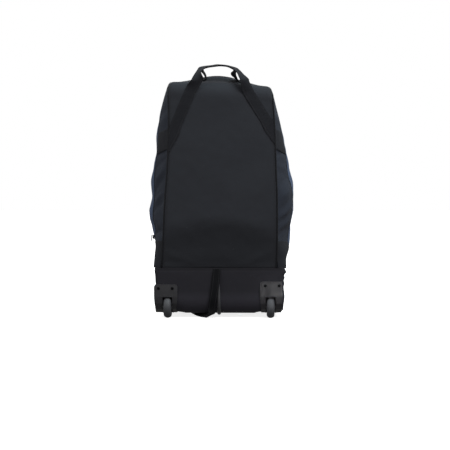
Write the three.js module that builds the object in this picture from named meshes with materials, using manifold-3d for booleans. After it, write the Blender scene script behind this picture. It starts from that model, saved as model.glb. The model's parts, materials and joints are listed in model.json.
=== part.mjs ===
// A foldable wheeled travel bag, standing upright on its two wheels and two feet.
// Millimetres, +Z up. The black back panel faces -Y and the blue front faces +Y.
// The origin lies on the floor, under the middle of the bag.
import * as THREE from "three";
import { mergeVertices } from "three/addons/utils/BufferGeometryUtils.js";
import Module from "manifold-3d";

const wasm = await Module();
wasm.setup();

// Cloth and seams
const CLOTH = 2;
const GAP = 0.4;
const SEAM_Z = 143;
const TOP_Z = 640;
const TOP_LEAN = 0.05;
const SWELL_SHAPE = 1.3;
const SHOULDER_SHAPE = 20;
const HUMP_SHAPE = 3;
const TOP_BACK_RADIUS = 28;
const TOP_FRONT_RADIUS = 50;
const ZIP_Y = -74;
const ZIP_END_Z = 218;
const ZIP_RISE = 0.8;
const PIPING_RADIUS = 2.2;

// The soft body, one row for each horizontal section from the base seam to the top.
// backY and frontY are the seams' planes, backCrown and frontCrown how far the panels swell past them,
// backShift how far the back panel sits to the right, left and right the widest half-widths,
// and leftFullness and rightFullness how square the sides are in plan.
const BODY_SECTIONS = [
  {
    height: 143, backY: -146, backHalf: 160, backShift: -1.5, backCrown: 1, left: 186,
    right: 187, leftFullness: 20, rightFullness: 20, frontHalf: 168, frontY: 138, frontCrown: 4,
  },
  {
    height: 170, backY: -149, backHalf: 160, backShift: -0.5, backCrown: 4, left: 189,
    right: 191, leftFullness: 9, rightFullness: 9, frontHalf: 168, frontY: 140, frontCrown: 12,
  },
  {
    height: 205, backY: -152, backHalf: 160, backShift: 1, backCrown: 6, left: 187,
    right: 202.5, leftFullness: 5.5, rightFullness: 2.6, frontHalf: 167, frontY: 141, frontCrown: 18,
  },
  {
    height: 240, backY: -155, backHalf: 159, backShift: 2, backCrown: 7, left: 199,
    right: 204, leftFullness: 1.7, rightFullness: 2.1, frontHalf: 166, frontY: 141, frontCrown: 22,
  },
  {
    height: 283, backY: -157, backHalf: 158, backShift: 3, backCrown: 8, left: 209,
    right: 208, leftFullness: 1.6, rightFullness: 3, frontHalf: 164, frontY: 140, frontCrown: 25,
  },
  {
    height: 345, backY: -157, backHalf: 156, backShift: 4.4, backCrown: 8, left: 203.5,
    right: 213, leftFullness: 1.65, rightFullness: 3, frontHalf: 162, frontY: 138, frontCrown: 26,
  },
  {
    height: 405, backY: -156, backHalf: 152.5, backShift: 5.6, backCrown: 8, left: 202,
    right: 206, leftFullness: 1.9, rightFullness: 1.7, frontHalf: 159, frontY: 135, frontCrown: 26,
  },
  {
    height: 468, backY: -154, backHalf: 150, backShift: 6, backCrown: 8, left: 190,
    right: 194, leftFullness: 2.3, rightFullness: 2.1, frontHalf: 156, frontY: 131, frontCrown: 26,
  },
  {
    height: 500, backY: -153, backHalf: 149, backShift: 6, backCrown: 8, left: 188,
    right: 185.5, leftFullness: 2.3, rightFullness: 2.3, frontHalf: 154, frontY: 129, frontCrown: 26,
  },
  {
    height: 545, backY: -151, backHalf: 147.5, backShift: 5.6, backCrown: 9, left: 184.5,
    right: 176.5, leftFullness: 2.3, rightFullness: 2.3, frontHalf: 151, frontY: 125, frontCrown: 26,
  },
  {
    height: 600, backY: -149, backHalf: 146.5, backShift: 3.6, backCrown: 10, left: 171,
    right: 163, leftFullness: 2.3, rightFullness: 2.3, frontHalf: 149, frontY: 120, frontCrown: 26,
  },
  {
    height: 640, backY: -147, backHalf: 146, backShift: 1.6, backCrown: 12, left: 157,
    right: 153, leftFullness: 2.3, rightFullness: 2.3, frontHalf: 148, frontY: 116, frontCrown: 26,
  },
];
const PANEL_HEIGHTS = [170, 205, 240, 283, 330, 375, 420, 468, 500, 522, 545, 572, 595];
const PANEL_SHARES = [0, 0.2, 0.42, 0.64, 0.82, 0.92, 0.97, 1];
const SIDE_HEIGHTS = [
  160, 180, 208, 216, 227, 250, 283, 315, 345, 375, 405, 437, 462, 477, 492, 510, 532, 565, 594, 612, 624,
  632,
];

// The bag's top: how high its shoulders stand over its side seams, and the hump in its middle over them.
const TOP_AT_BACK = { shoulder: 20, hump: 6 };
const TOP_AT_ZIP = { shoulder: 24, hump: 24 };
const TOP_AT_FRONT = { shoulder: 22, hump: 14 };
const FLAT_TOP = { shoulder: 0, hump: 0 };

// Base tub
const BASE_RIM_Z = 142.6;
const BASE_BOTTOM_Z = 15;
const BASE_HALF = 180;
const BASE_BACK_Y = -148;
const BASE_FRONT_Y = 142;
const BASE_BACK_RADIUS = 45;
const BASE_FRONT_RADIUS = 30;
const BASE_END_RADIUS = 12;
const BASE_CORNER_RADIUS = 9;
const BASE_WALL = 2.5;
const BASE_FLANGE = 26;
const BASE_RING_STEPS = 3;

// Wheels, brackets and feet
const WHEELS = [
  { side: "left", x: -147, bracketX: -152.5, bracketTop: 96 },
  { side: "right", x: 143.6, bracketX: 147.5, bracketTop: 104 },
];
const WHEEL_Y = -128;
const WHEEL_RADIUS = 32;
const WHEEL_HALF_WIDTH = 11;
const HUB_RADIUS = 20;
const AXLE_RADIUS = 3;
const WHEEL_SIDES = 26;
const BRACKET_HALF = 34;
const BRACKET_PLATE = 3.2;
const BRACKET_UNDER_Y = -72;
const WELL_HALF = 13.5;
const WELL_WALL = 3;
const WELL_FRONT_Y = -93;
const WELL_ROOF_Z = 67;
const SLOT_TOP_Z = 60;
const SCREW_SPACING = 39;
const SCREW_BELOW_TOP = 12;
const SCREW_RADIUS = 4.2;
const FOOT = { x: 128, y: 96, length: 52, width: 26, topInset: 4 };

// Webbing
const HANDLE_WIDTH = 30;
const GRAB_WIDTH = 21;
const WEBBING = 2.2;
const LINING_WIDTH = 26;
const STRAPS = {
  left: { seamZ: 497, topX: -78, topZ: 640 },
  right: { seamZ: 517, topX: 80, topZ: 640 },
};
const PANEL_STRAP_STEPS = 6;

// The handle above the back panel, from where the strap leaves the panel to the middle of the grip.
// twist is how far the webbing has turned about its length, in degrees, from lying flat to standing on edge.
const HANDLE_STATIONS = {
  left: [
    { x: -73, y: -161, z: 652, twist: 4 },
    { x: -67.6, y: -160, z: 668, twist: 24 },
    { x: -62.5, y: -155.5, z: 679, twist: 40 },
    { x: -58.5, y: -149, z: 689, twist: 52 },
    { x: -54.5, y: -141, z: 697, twist: 62 },
    { x: -48.5, y: -133.5, z: 703.5, twist: 76 },
    { x: -36, y: -125, z: 707.5, twist: 90 },
    { x: -14, y: -125, z: 712.4, twist: 90 },
  ],
  right: [
    { x: 74, y: -161, z: 652, twist: 6 },
    { x: 69.5, y: -160, z: 667, twist: 34 },
    { x: 66, y: -155.5, z: 677, twist: 52 },
    { x: 59.5, y: -148.5, z: 686, twist: 62 },
    { x: 52.5, y: -140.5, z: 694, twist: 70 },
    { x: 43.5, y: -133, z: 701, twist: 80 },
    { x: 31, y: -125, z: 707.5, twist: 90 },
    { x: 8, y: -125, z: 712.6, twist: 90 },
  ],
};

// The short inner strap under the grip: its sewn tab on the bag's top, its free leg and its run inwards.
// rise is its height over the bag's top, slope how steeply its width falls towards the back,
// and turn how far its width turns about the vertical, in degrees.
const LINING_TAB_Y = -99;
const LINING_STATIONS = {
  left: [
    { x: -58, y: -99, rise: 0.3, slope: 0.33, turn: 0 },
    { x: -46, y: -99, rise: 1.2, slope: 0.36, turn: 4 },
    { x: -39.5, y: -100, rise: 3.2, slope: 0.3, turn: 12 },
    { x: -39, y: -104, rise: 7.5, slope: 0.16, turn: 22 },
    { x: -42.5, y: -110, rise: 13, slope: 0.08, turn: 26 },
    { x: -46.5, y: -117, rise: 18.6, slope: 0, turn: 20 },
    { x: -46.5, y: -121, rise: 22.4, slope: 0, turn: 10 },
    { x: -40, y: -123, rise: 25, slope: 0, turn: 3 },
    { x: -29, y: -123.5, rise: 27.4, slope: 0, turn: 1 },
    { x: -14, y: -123, rise: 29.6, slope: 0, turn: 0 },
  ],
  right: [
    { x: 62, y: -99, rise: 0.3, slope: 0.33, turn: 0 },
    { x: 52.5, y: -99, rise: 1.1, slope: 0.36, turn: 4 },
    { x: 46.5, y: -100, rise: 3.6, slope: 0.3, turn: 14 },
    { x: 42, y: -104, rise: 8.5, slope: 0.16, turn: 28 },
    { x: 38.5, y: -110, rise: 14.5, slope: 0.06, turn: 34 },
    { x: 36.5, y: -117, rise: 20, slope: 0, turn: 28 },
    { x: 32, y: -122, rise: 24.8, slope: 0, turn: 12 },
    { x: 23, y: -123.5, rise: 27.4, slope: 0, turn: 3 },
    { x: 8, y: -123, rise: 29.8, slope: 0, turn: 0 },
  ],
};

// The loose grab strap over the base's back edge: down the back, round the edge and forward under the base.
const GRAB_STATIONS = [
  { x: -7.5, y: -150.2, z: 140 },
  { x: -9.2, y: -152.4, z: 118 },
  { x: -11, y: -154.4, z: 98 },
  { x: -14.5, y: -155.6, z: 72 },
  { x: -18, y: -155.2, z: 53 },
  { x: -23, y: -149.6, z: 33 },
  { x: -29.5, y: -137.5, z: 16 },
  { x: -38, y: -120, z: 6.2 },
  { x: -48, y: -104, z: 3.4 },
  { x: -58, y: -91, z: 5 },
  { x: -68, y: -78, z: 8.4 },
  { x: -78, y: -65, z: 12 },
  { x: -89, y: -51, z: 13.2 },
  { x: -99, y: -38, z: 13.4 },
];

const SKID_X = -2;
const SKID_HALF_WIDTH = 5.5;
const SKID_HEIGHT = 5;
const SKID_TOP_Z = 98;
const SKID_END_Y = -58;

// Dark bands sewn over the side panels, from the piping forward to the zip.
const SIDE_BANDS = [
  { name: "upper_side_band", heights: [474, 490, 505, 520, 532], drop: 12 },
  { name: "lower_side_band", heights: [148, 160, 180, 208], drop: 0 },
];
const BAND_CLOTH = 1.2;

const BLACK_CLOTH = cloth(0x2e3035);
const SIDE_CLOTH = cloth(0x2f333b);
const BAND_BLACK = cloth(0x27282b);
const BLUE_CLOTH = cloth(0x33415c);
const BASE_CLOTH = cloth(0x26262a);
const WEBBING_BLACK = cloth(0x202124);
const BRACKET_PLASTIC = new THREE.MeshStandardMaterial({ color: 0x2b2b2e, roughness: 0.45 });
const TYRE_RUBBER = new THREE.MeshStandardMaterial({ color: 0x45474b, roughness: 0.6 });
const STEEL = new THREE.MeshStandardMaterial({ color: 0x9a9a9c, roughness: 0.35, metalness: 1 });

function cloth(color) {
  return new THREE.MeshStandardMaterial({ color, roughness: 0.85 });
}

const point = (x, y, z) => new THREE.Vector3(x, y, z);
const mix = THREE.MathUtils.lerp;
const radians = THREE.MathUtils.degToRad;

// Solids

// Turns a geometry's faces round if they point inwards.
function facingOut(geometry) {
  const at = geometry.attributes.position;
  const index = geometry.index.array;
  const [a, b, c] = [point(), point(), point()];
  let volume = 0;
  for (let i = 0; i < index.length; i += 3) {
    a.fromBufferAttribute(at, index[i]);
    b.fromBufferAttribute(at, index[i + 1]);
    c.fromBufferAttribute(at, index[i + 2]);
    volume += a.dot(b.cross(c));
  }
  if (volume < 0) index.reverse();
  return geometry;
}

function indexed(points, faces) {
  const geometry = new THREE.BufferGeometry().setFromPoints(points);
  geometry.setIndex(faces);
  return facingOut(geometry);
}

// A closed wall between two grids of points, its outer face and its inner face.
function wall(outer, inner) {
  const rows = outer.length;
  const columns = outer[0].length;
  const faces = [];
  const quad = (a, b, c, d) => faces.push(a, b, c, a, c, d);
  const out = (r, c) => r * columns + c;
  const into = (r, c) => rows * columns + out(r, c);
  for (let r = 0; r + 1 < rows; r += 1) {
    for (let c = 0; c + 1 < columns; c += 1) {
      quad(out(r, c), out(r, c + 1), out(r + 1, c + 1), out(r + 1, c));
      quad(into(r, c), into(r + 1, c), into(r + 1, c + 1), into(r, c + 1));
    }
    const end = columns - 1;
    quad(out(r, 0), out(r + 1, 0), into(r + 1, 0), into(r, 0));
    quad(out(r, end), into(r, end), into(r + 1, end), out(r + 1, end));
  }
  for (let c = 0; c + 1 < columns; c += 1) {
    const end = rows - 1;
    quad(out(0, c), into(0, c), into(0, c + 1), out(0, c + 1));
    quad(out(end, c), out(end, c + 1), into(end, c + 1), into(end, c));
  }
  return indexed([...outer.flat(), ...inner.flat()], faces);
}

// A closed solid through a row of convex rings that have the same number of points.
function loft(rings) {
  const sides = rings[0].length;
  const faces = [];
  for (let r = 0; r + 1 < rings.length; r += 1) {
    for (let k = 0; k < sides; k += 1) {
      const next = (k + 1) % sides;
      const [a, b] = [r * sides + k, r * sides + next];
      faces.push(a, b, b + sides, a, b + sides, a + sides);
    }
  }
  const last = (rings.length - 1) * sides;
  for (let k = 1; k + 1 < sides; k += 1) {
    faces.push(0, k + 1, k, last, last + k, last + k + 1);
  }
  return indexed(rings.flat(), faces);
}

function tube(path, radius, sides = 8) {
  return loft(path.map((at, i) => {
    const before = path[Math.max(i - 1, 0)];
    const after = path[Math.min(i + 1, path.length - 1)];
    const along = point().subVectors(after, before).normalize();
    const across = point(0.6, 1, 0.3).cross(along).normalize();
    const up = point().crossVectors(along, across);
    return Array.from({ length: sides }, (_, k) => {
      const angle = (2 * Math.PI * k) / sides;
      const sideways = at.clone().addScaledVector(across, radius * Math.cos(angle));
      return sideways.addScaledVector(up, radius * Math.sin(angle));
    });
  }));
}

// Flat webbing through stations of { at, face, twist, cut }: a place, the way the webbing faces there before
// it is twisted about its length and, where its edges are set, half its width as a vector.
function webbing(stations, width, thickness = WEBBING) {
  return loft(stations.map(({ at, face, twist = 0, cut }, i) => {
    const before = stations[Math.max(i - 1, 0)].at;
    const after = stations[Math.min(i + 1, stations.length - 1)].at;
    const along = point().subVectors(after, before).normalize();
    const flat = cut ?? point().crossVectors(along, face).setLength(width / 2);
    const across = flat.clone().applyAxisAngle(along, radians(twist));
    const lift = point().crossVectors(across, along).setLength(thickness / 2);
    const corner = (a, b) => at.clone().addScaledVector(across, a).addScaledVector(lift, b);
    return [corner(-1, -1), corner(1, -1), corner(1, 1), corner(-1, 1)];
  }));
}

function solid(geometry) {
  const plain = new THREE.BufferGeometry().setAttribute("position", geometry.getAttribute("position"));
  if (geometry.index) plain.setIndex(geometry.index);
  const merged = mergeVertices(plain, 1e-4);
  return new wasm.Manifold(new wasm.Mesh({
    numProp: 3,
    vertProperties: new Float32Array(merged.attributes.position.array),
    triVerts: new Uint32Array(merged.index.array),
  }));
}

function geometryOf(manifold) {
  const mesh = manifold.getMesh();
  const geometry = new THREE.BufferGeometry();
  geometry.setAttribute("position", new THREE.BufferAttribute(mesh.vertProperties, 3));
  return geometry.setIndex(new THREE.BufferAttribute(mesh.triVerts, 1));
}

// A block between two corners.
function block(low, high) {
  const size = point().subVectors(high, low);
  const middle = point().addVectors(low, high).multiplyScalar(0.5);
  return new THREE.BoxGeometry(size.x, size.y, size.z).translate(middle.x, middle.y, middle.z);
}

// A round bar along X.
function bar(x0, x1, y, z, radius, sides = 16) {
  const length = x1 - x0;
  const geometry = new THREE.CylinderGeometry(radius, radius, length, sides);
  return geometry.rotateZ(Math.PI / 2).translate((x0 + x1) / 2, y, z);
}

// The soft body's surfaces

// One column of the section table at any height, on a smooth curve through the rows.
function sectionAt(height, column) {
  const rows = BODY_SECTIONS;
  let i = 0;
  while (i < rows.length - 2 && height > rows[i + 1].height) i += 1;
  const slope = (k) => {
    const below = rows[Math.max(k - 1, 0)];
    const above = rows[Math.min(k + 1, rows.length - 1)];
    return (above[column] - below[column]) / (above.height - below.height);
  };
  const span = rows[i + 1].height - rows[i].height;
  const t = (height - rows[i].height) / span;
  const rise = t * t * (3 - 2 * t);
  return mix(rows[i][column], rows[i + 1][column], rise)
    + slope(i) * span * t * (1 - t) ** 2 - slope(i + 1) * span * t * t * (1 - t);
}

// Where the body's back or front edge lies at a height, with its rounded top corner.
function backEdge(height, inset = 0) {
  const centreZ = TOP_Z - TOP_BACK_RADIUS;
  if (height <= centreZ) return sectionAt(height, "backY") + inset;
  const reach = Math.sqrt(Math.max((TOP_BACK_RADIUS - inset) ** 2 - (height - centreZ) ** 2, 0));
  return sectionAt(centreZ, "backY") + TOP_BACK_RADIUS - reach;
}

function frontEdge(height, inset = 0) {
  const centreZ = TOP_Z - TOP_FRONT_RADIUS;
  if (height <= centreZ) return sectionAt(height, "frontY") - inset;
  const reach = Math.sqrt(Math.max((TOP_FRONT_RADIUS - inset) ** 2 - (height - centreZ) ** 2, 0));
  return sectionAt(centreZ, "frontY") - TOP_FRONT_RADIUS + reach;
}

// The half-width of one side of the body at a place.
function sideHalf(side, y, height) {
  const back = backEdge(height);
  const t = (y - back) / (frontEdge(height) - back);
  const shift = sectionAt(height, "backShift");
  const backHalf = sectionAt(height, "backHalf") + (side === "left" ? -shift : shift);
  const frontHalf = sectionAt(height, "frontHalf");
  const bulge = sectionAt(height, side) - (backHalf + frontHalf) / 2;
  const fullness = sectionAt(height, `${side}Fullness`);
  return mix(backHalf, frontHalf, t) + bulge * (1 - Math.abs(2 * t - 1) ** fullness);
}

function backSurfaceY(x, height) {
  const u = (x - sectionAt(height, "backShift")) / sectionAt(height, "backHalf");
  return sectionAt(height, "backY") - sectionAt(height, "backCrown") * swellShape(u);
}

// The bag's top between its back corner and the zip.
function topSurfaceZ(x, y) {
  const { half, shift, top } = topStation(y);
  return TOP_Z + topSwell(top, (x - shift) / half);
}

// A place on the bag's top: half its width there, how far its middle lies to the right, and its swell.
function topStation(y) {
  const [left, right] = [sideHalf("left", y, TOP_Z), sideHalf("right", y, TOP_Z)];
  const share = (y - topCornerY()) / (ZIP_Y - topCornerY());
  const top = between(TOP_AT_BACK, TOP_AT_ZIP, share);
  return { y, z: TOP_Z, half: (left + right) / 2 - GAP, shift: (right - left) / 2, tilt: 90, top };
}

function between(from, to, share) {
  return { shoulder: mix(from.shoulder, to.shoulder, share), hump: mix(from.hump, to.hump, share) };
}

function topSwell({ shoulder, hump }, u) {
  return shoulder * (1 - Math.abs(u) ** SHOULDER_SHAPE) + hump * Math.max(1 - u * u, 0) ** HUMP_SHAPE;
}

function topCornerY() {
  return sectionAt(TOP_Z - TOP_BACK_RADIUS, "backY") + TOP_BACK_RADIUS;
}

// How a panel's swell falls off from its middle to its edges, at u = -1 and u = 1.
function swellShape(u) {
  return Math.max(1 - u * u, 0) ** SWELL_SHAPE;
}

// Stations up the back panel, round the top corner and forward to the zip.
function backStations() {
  const centreZ = TOP_Z - TOP_BACK_RADIUS;
  const centreY = topCornerY();
  const seam = (z) => ({ z, half: sectionAt(z, "backHalf"), shift: sectionAt(z, "backShift") });
  const stations = [SEAM_Z + GAP, ...PANEL_HEIGHTS].map((z) => (
    { ...seam(z), y: sectionAt(z, "backY"), crown: sectionAt(z, "backCrown"), tilt: 0 }
  ));
  for (const tilt of [0, 18, 36, 54, 72, 90]) {
    const z = centreZ + TOP_BACK_RADIUS * Math.sin(radians(tilt));
    const y = centreY - TOP_BACK_RADIUS * Math.cos(radians(tilt));
    const share = THREE.MathUtils.smoothstep(tilt, 0, 90);
    const crown = mix(sectionAt(centreZ, "backCrown"), 0, share);
    stations.push({ ...seam(z), y, crown, tilt, top: between(FLAT_TOP, TOP_AT_BACK, share) });
  }
  const zipEdge = ZIP_Y - zipHalfGap(TOP_Z);
  return [...stations, topStation(mix(centreY, zipEdge, 0.5)), topStation(zipEdge)];
}

// Stations from the zip forward over the top, round the front corner and down the front.
function frontStations() {
  const centreZ = TOP_Z - TOP_FRONT_RADIUS;
  const centreY = sectionAt(centreZ, "frontY") - TOP_FRONT_RADIUS;
  const zipEdge = ZIP_Y + zipHalfGap(TOP_Z);
  const stations = [0, 0.33, 0.67].map((share) => (
    { ...topStation(mix(zipEdge, centreY, share)), top: between(TOP_AT_ZIP, TOP_AT_FRONT, share) }
  ));
  for (const tilt of [90, 72, 54, 36, 18, 0]) {
    const z = centreZ + TOP_FRONT_RADIUS * Math.sin(radians(tilt));
    const y = centreY + TOP_FRONT_RADIUS * Math.cos(radians(tilt));
    const share = THREE.MathUtils.smoothstep(tilt, 0, 90);
    const crown = mix(sectionAt(centreZ, "frontCrown"), 0, share);
    const half = sectionAt(z, "frontHalf") - GAP;
    stations.push({ y, z, half, crown, tilt, top: between(FLAT_TOP, TOP_AT_FRONT, share) });
  }
  for (const z of [...PANEL_HEIGHTS.filter((z) => z < centreZ - 10).reverse(), SEAM_Z + GAP]) {
    const crown = sectionAt(z, "frontCrown");
    stations.push({ y: sectionAt(z, "frontY"), z, half: sectionAt(z, "frontHalf"), crown, tilt: 0 });
  }
  return stations;
}

// A panel across the bag's width through stations, swelling out by each station's crown and top.
// outward is -1 at the back.
function widePanel(stations, outward) {
  const across = [...PANEL_SHARES.slice(1).reverse().map((u) => -u), ...PANEL_SHARES];
  const grid = (depth) => stations.map(({ y, z, half, shift = 0, crown = 0, tilt, top = FLAT_TOP }) => {
    const [faceY, faceZ] = [outward * Math.cos(radians(tilt)), Math.sin(radians(tilt))];
    return across.map((u) => {
      const swell = crown * swellShape(u) + topSwell(top, u) - depth;
      return point(shift + half * u, y + faceY * swell, z + faceZ * swell);
    });
  });
  return wall(grid(0), grid(CLOTH));
}

// Half the gap that the zip fills between the side panels. Below the zip's end they meet in a plain seam.
function zipHalfGap(height) {
  return mix(0.2, 4, THREE.MathUtils.clamp((height - (ZIP_END_Z - 14)) / 10, 0, 1));
}

// A wall over one side of the body, through heights and shares of the way forward. yAt gives the place of a
// share, proud lifts the wall off the surface and drop lowers its front end.
function sidePanel(side, heights, shares, yAt, thickness, proud = 0, drop = 0) {
  const sign = side === "left" ? -1 : 1;
  const grid = (lift) => heights.map((height) => shares.map((share) => {
    const z = height - drop * share;
    const y = yAt(z, share);
    return point(sign * (sideHalf(side, y, z) + lift), y, z);
  }));
  return wall(grid(proud), grid(proud - thickness));
}

const shares = (count) => Array.from({ length: count + 1 }, (_, k) => k / count);
const sideHeights = () => [SEAM_Z + GAP, ...SIDE_HEIGHTS, TOP_Z - CLOTH - GAP];

// Places on the back side panel lie closer together near the piping, where it curves most.
function backSideY(z, share) {
  return mix(backEdge(z, CLOTH + GAP), ZIP_Y - zipHalfGap(z), share ** 1.5);
}

function frontSideY(z, share) {
  return mix(ZIP_Y + zipHalfGap(z), frontEdge(z, CLOTH + 2 * GAP), share);
}

function sideBand(side, { heights, drop }) {
  const lift = BAND_CLOTH + 2 * GAP;
  return sidePanel(side, heights, shares(6).slice(1), backSideY, BAND_CLOTH, lift, drop);
}

// Piping along the seam between the back panel and one side panel, up and over the top corner to the zip.
function piping(side) {
  const sign = side === "left" ? -1 : 1;
  const off = (PIPING_RADIUS + GAP) / Math.SQRT2;
  const end = topStation(ZIP_Y - zipHalfGap(TOP_Z) - 2 * PIPING_RADIUS);
  return tube([...backStations().slice(0, -1), end].map(({ y, z, half, shift, tilt }) => (
    point(shift + sign * (half + off), y - off * Math.cos(radians(tilt)), z + off * Math.sin(radians(tilt)))
  )), PIPING_RADIUS);
}

// The zip's chain, up the left side, over the top and down the right side.
function zipPath() {
  const middle = [227, 250, 283, 315, 345, 375, 405, 437, 468, 500, 522, 545, 572, 594, 612, 626];
  const heights = [ZIP_END_Z, ...middle, TOP_Z - 4];
  const up = (side, sign) => heights.map((z) => point(sign * sideHalf(side, ZIP_Y, z), ZIP_Y, z));
  const { half, shift } = topStation(ZIP_Y);
  const across = [-0.985, -0.95, ...shares(10).map((k) => mix(-0.9, 0.9, k)), 0.95, 0.985].map((u) => {
    const x = shift + half * u;
    return point(x, ZIP_Y, topSurfaceZ(x, ZIP_Y));
  });
  return [...up("left", -1), ...across, ...up("right", 1).reverse()];
}

function zipChain() {
  const half = zipHalfGap(TOP_Z) - 0.3;
  const path = zipPath();
  return loft(path.map((at, i) => {
    const before = path[Math.max(i - 1, 0)];
    const after = path[Math.min(i + 1, path.length - 1)];
    const along = point().subVectors(after, before).normalize();
    const out = point(-along.z, 0, along.x);
    const corner = (y, lift) => at.clone().addScaledVector(out, lift).setY(ZIP_Y + y);
    return [corner(-half, -CLOTH), corner(half, -CLOTH), corner(half, ZIP_RISE), corner(-half, ZIP_RISE)];
  }));
}

// The zip's slider, parked at the zip's end low on the left side, leaning with the cloth, and its pull tab.
const SLIDER = { length: 13, half: 4.5, depth: 5, z: ZIP_END_Z + 9 };
const PULL = { length: 18, half: 4, thickness: 1.6, swing: 8 };

function onSlider(geometry) {
  const half = (z) => Math.max(sideHalf("left", ZIP_Y, z) + ZIP_RISE, sideHalf("left", ZIP_Y + SLIDER.half, z));
  const lean = Math.atan2(half(SLIDER.z + 8) - half(SLIDER.z - 8), 16);
  return geometry.rotateY(-lean).translate(-half(SLIDER.z) - GAP, ZIP_Y, SLIDER.z);
}

function zipSlider() {
  const { length, half, depth } = SLIDER;
  return onSlider(block(point(-depth, -half, -length / 2), point(0, half, length / 2)));
}

function zipPull() {
  const { length, half, thickness, swing } = PULL;
  const tab = block(point(-thickness, -half, -length), point(0, half, 0));
  return onSlider(tab.rotateY(radians(swing)).translate(-SLIDER.depth - 0.9, 0, SLIDER.length / 2));
}

// Webbing pieces

// The way that the back panel faces at a place.
function backFacing(x, z) {
  const slopeX = backSurfaceY(x + 1, z) - backSurfaceY(x - 1, z);
  const slopeZ = backSurfaceY(x, z + 1) - backSurfaceY(x, z - 1);
  return point(slopeX / 2, -1, slopeZ / 2).normalize();
}

// One strap: from the left side seam up across the back, over the hand grip and down to the right side seam.
function handleStrap() {
  return webbing([...strapHalf("right", 1), ...strapHalf("left", -1).reverse()], HANDLE_WIDTH);
}

// The strap's stations from one side seam up to the middle of the grip.
function strapHalf(side, sign) {
  const { seamZ, topX, topZ } = STRAPS[side];
  const off = GAP + 0.3 + WEBBING / 2;
  const onPanel = (x, z) => point(x, backSurfaceY(x, z) - off, z);
  const seamX = (z) => sectionAt(z, "backShift") + sign * (sectionAt(z, "backHalf") - 1);
  const lean = Math.atan2(Math.abs(seamX(seamZ) - topX), topZ - seamZ);
  const halfCut = HANDLE_WIDTH / 2 / Math.sin(lean);
  const [low, high] = [seamZ - halfCut, seamZ + halfCut].map((z) => onPanel(seamX(z), z));
  const stations = [{
    at: point().addVectors(low, high).multiplyScalar(0.5),
    cut: point().subVectors(high, low).multiplyScalar(0.5),
  }];
  for (let i = 0; i < PANEL_STRAP_STEPS; i += 1) {
    const share = mix(0.3, 1, i / (PANEL_STRAP_STEPS - 1));
    const x = mix(seamX(seamZ), topX, share);
    const z = mix(seamZ, topZ, share);
    stations.push({ at: onPanel(x, z), face: backFacing(x, z) });
  }
  for (const { x, y, z, twist } of HANDLE_STATIONS[side]) {
    stations.push({ at: point(x, y, z), face: point(0, -1, 0), twist });
  }
  return stations;
}

function handleLining() {
  const off = GAP + 0.2 + WEBBING / 2;
  const half = LINING_WIDTH / 2;
  const stations = ({ x, y, rise, slope, turn }) => ({
    at: point(x, y, topSurfaceZ(x, LINING_TAB_Y) + off + rise),
    cut: point(half * Math.sin(radians(turn)), -half * Math.cos(radians(turn)), -half * slope),
  });
  return webbing(
    [...LINING_STATIONS.right.map(stations), ...LINING_STATIONS.left.map(stations).reverse()],
    LINING_WIDTH,
  );
}

function grabStrap() {
  const stations = GRAB_STATIONS.map(({ x, y, z }, i) => {
    const before = GRAB_STATIONS[Math.max(i - 1, 0)];
    const after = GRAB_STATIONS[Math.min(i + 1, GRAB_STATIONS.length - 1)];
    const face = point(0, after.z - before.z, before.y - after.y).normalize();
    return { at: point(x, y, z), face };
  });
  return webbing(stations, GRAB_WIDTH);
}

// The base

// One level of the base's outline, moved inwards by inset.
function baseRing(z, inset) {
  const rounded = (radius) => {
    const rise = BASE_BOTTOM_Z + radius - z;
    if (rise <= 0) return inset;
    const reach = Math.sqrt(Math.max((radius - inset) ** 2 - rise * rise, 0));
    return radius - reach;
  };
  const half = BASE_HALF - rounded(BASE_END_RADIUS);
  const back = BASE_BACK_Y + rounded(BASE_BACK_RADIUS);
  const front = BASE_FRONT_Y - rounded(BASE_FRONT_RADIUS);
  const radius = BASE_CORNER_RADIUS - inset;
  const corners = [
    { x: half - radius, y: back + radius, from: -90 },
    { x: half - radius, y: front - radius, from: 0 },
    { x: radius - half, y: front - radius, from: 90 },
    { x: radius - half, y: back + radius, from: 180 },
  ];
  return corners.flatMap(({ x, y, from }) => Array.from({ length: BASE_RING_STEPS + 1 }, (_, k) => {
    const angle = radians(from + (90 * k) / BASE_RING_STEPS);
    return point(x + radius * Math.cos(angle), y + radius * Math.sin(angle), z);
  }));
}

// Levels of the base from its rim to its floor, close together where its edges round under.
function baseLevels(inset) {
  const bottom = BASE_BOTTOM_Z + inset;
  const reach = BASE_BACK_RADIUS - inset;
  const angles = [0, 15, 30, 45, 58, 70, 80, 90];
  const round = angles.map((angle) => bottom + reach * (1 - Math.sin(radians(angle))));
  return [BASE_RIM_Z, ...round];
}

function baseTub() {
  const outer = solid(loft(baseLevels(0).map((z) => baseRing(z, 0))));
  const hollow = baseLevels(BASE_WALL).map((z) => Math.min(z, BASE_RIM_Z - BASE_WALL));
  const inner = solid(loft(hollow.map((z) => baseRing(z, BASE_WALL))));
  const mouth = solid(block(
    point(BASE_FLANGE - BASE_HALF, BASE_BACK_Y + BASE_FLANGE, BASE_RIM_Z - 2 * BASE_WALL),
    point(BASE_HALF - BASE_FLANGE, BASE_FRONT_Y - BASE_FLANGE, BASE_RIM_Z + 10),
  ));
  const wells = WHEELS.map(({ x }) => solid(wellBlock(x, WELL_WALL + GAP)));
  return geometryOf(wasm.Manifold.difference([outer, inner, mouth, ...wells]));
}

// The block of a wheel well, grown past the space that the wheel turns in, and open to the back and below.
function wellBlock(x, grow) {
  return block(
    point(x - WELL_HALF - grow, BASE_BACK_Y - 30, -10),
    point(x + WELL_HALF + grow, WELL_FRONT_Y + grow, WELL_ROOF_Z + grow),
  );
}

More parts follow.
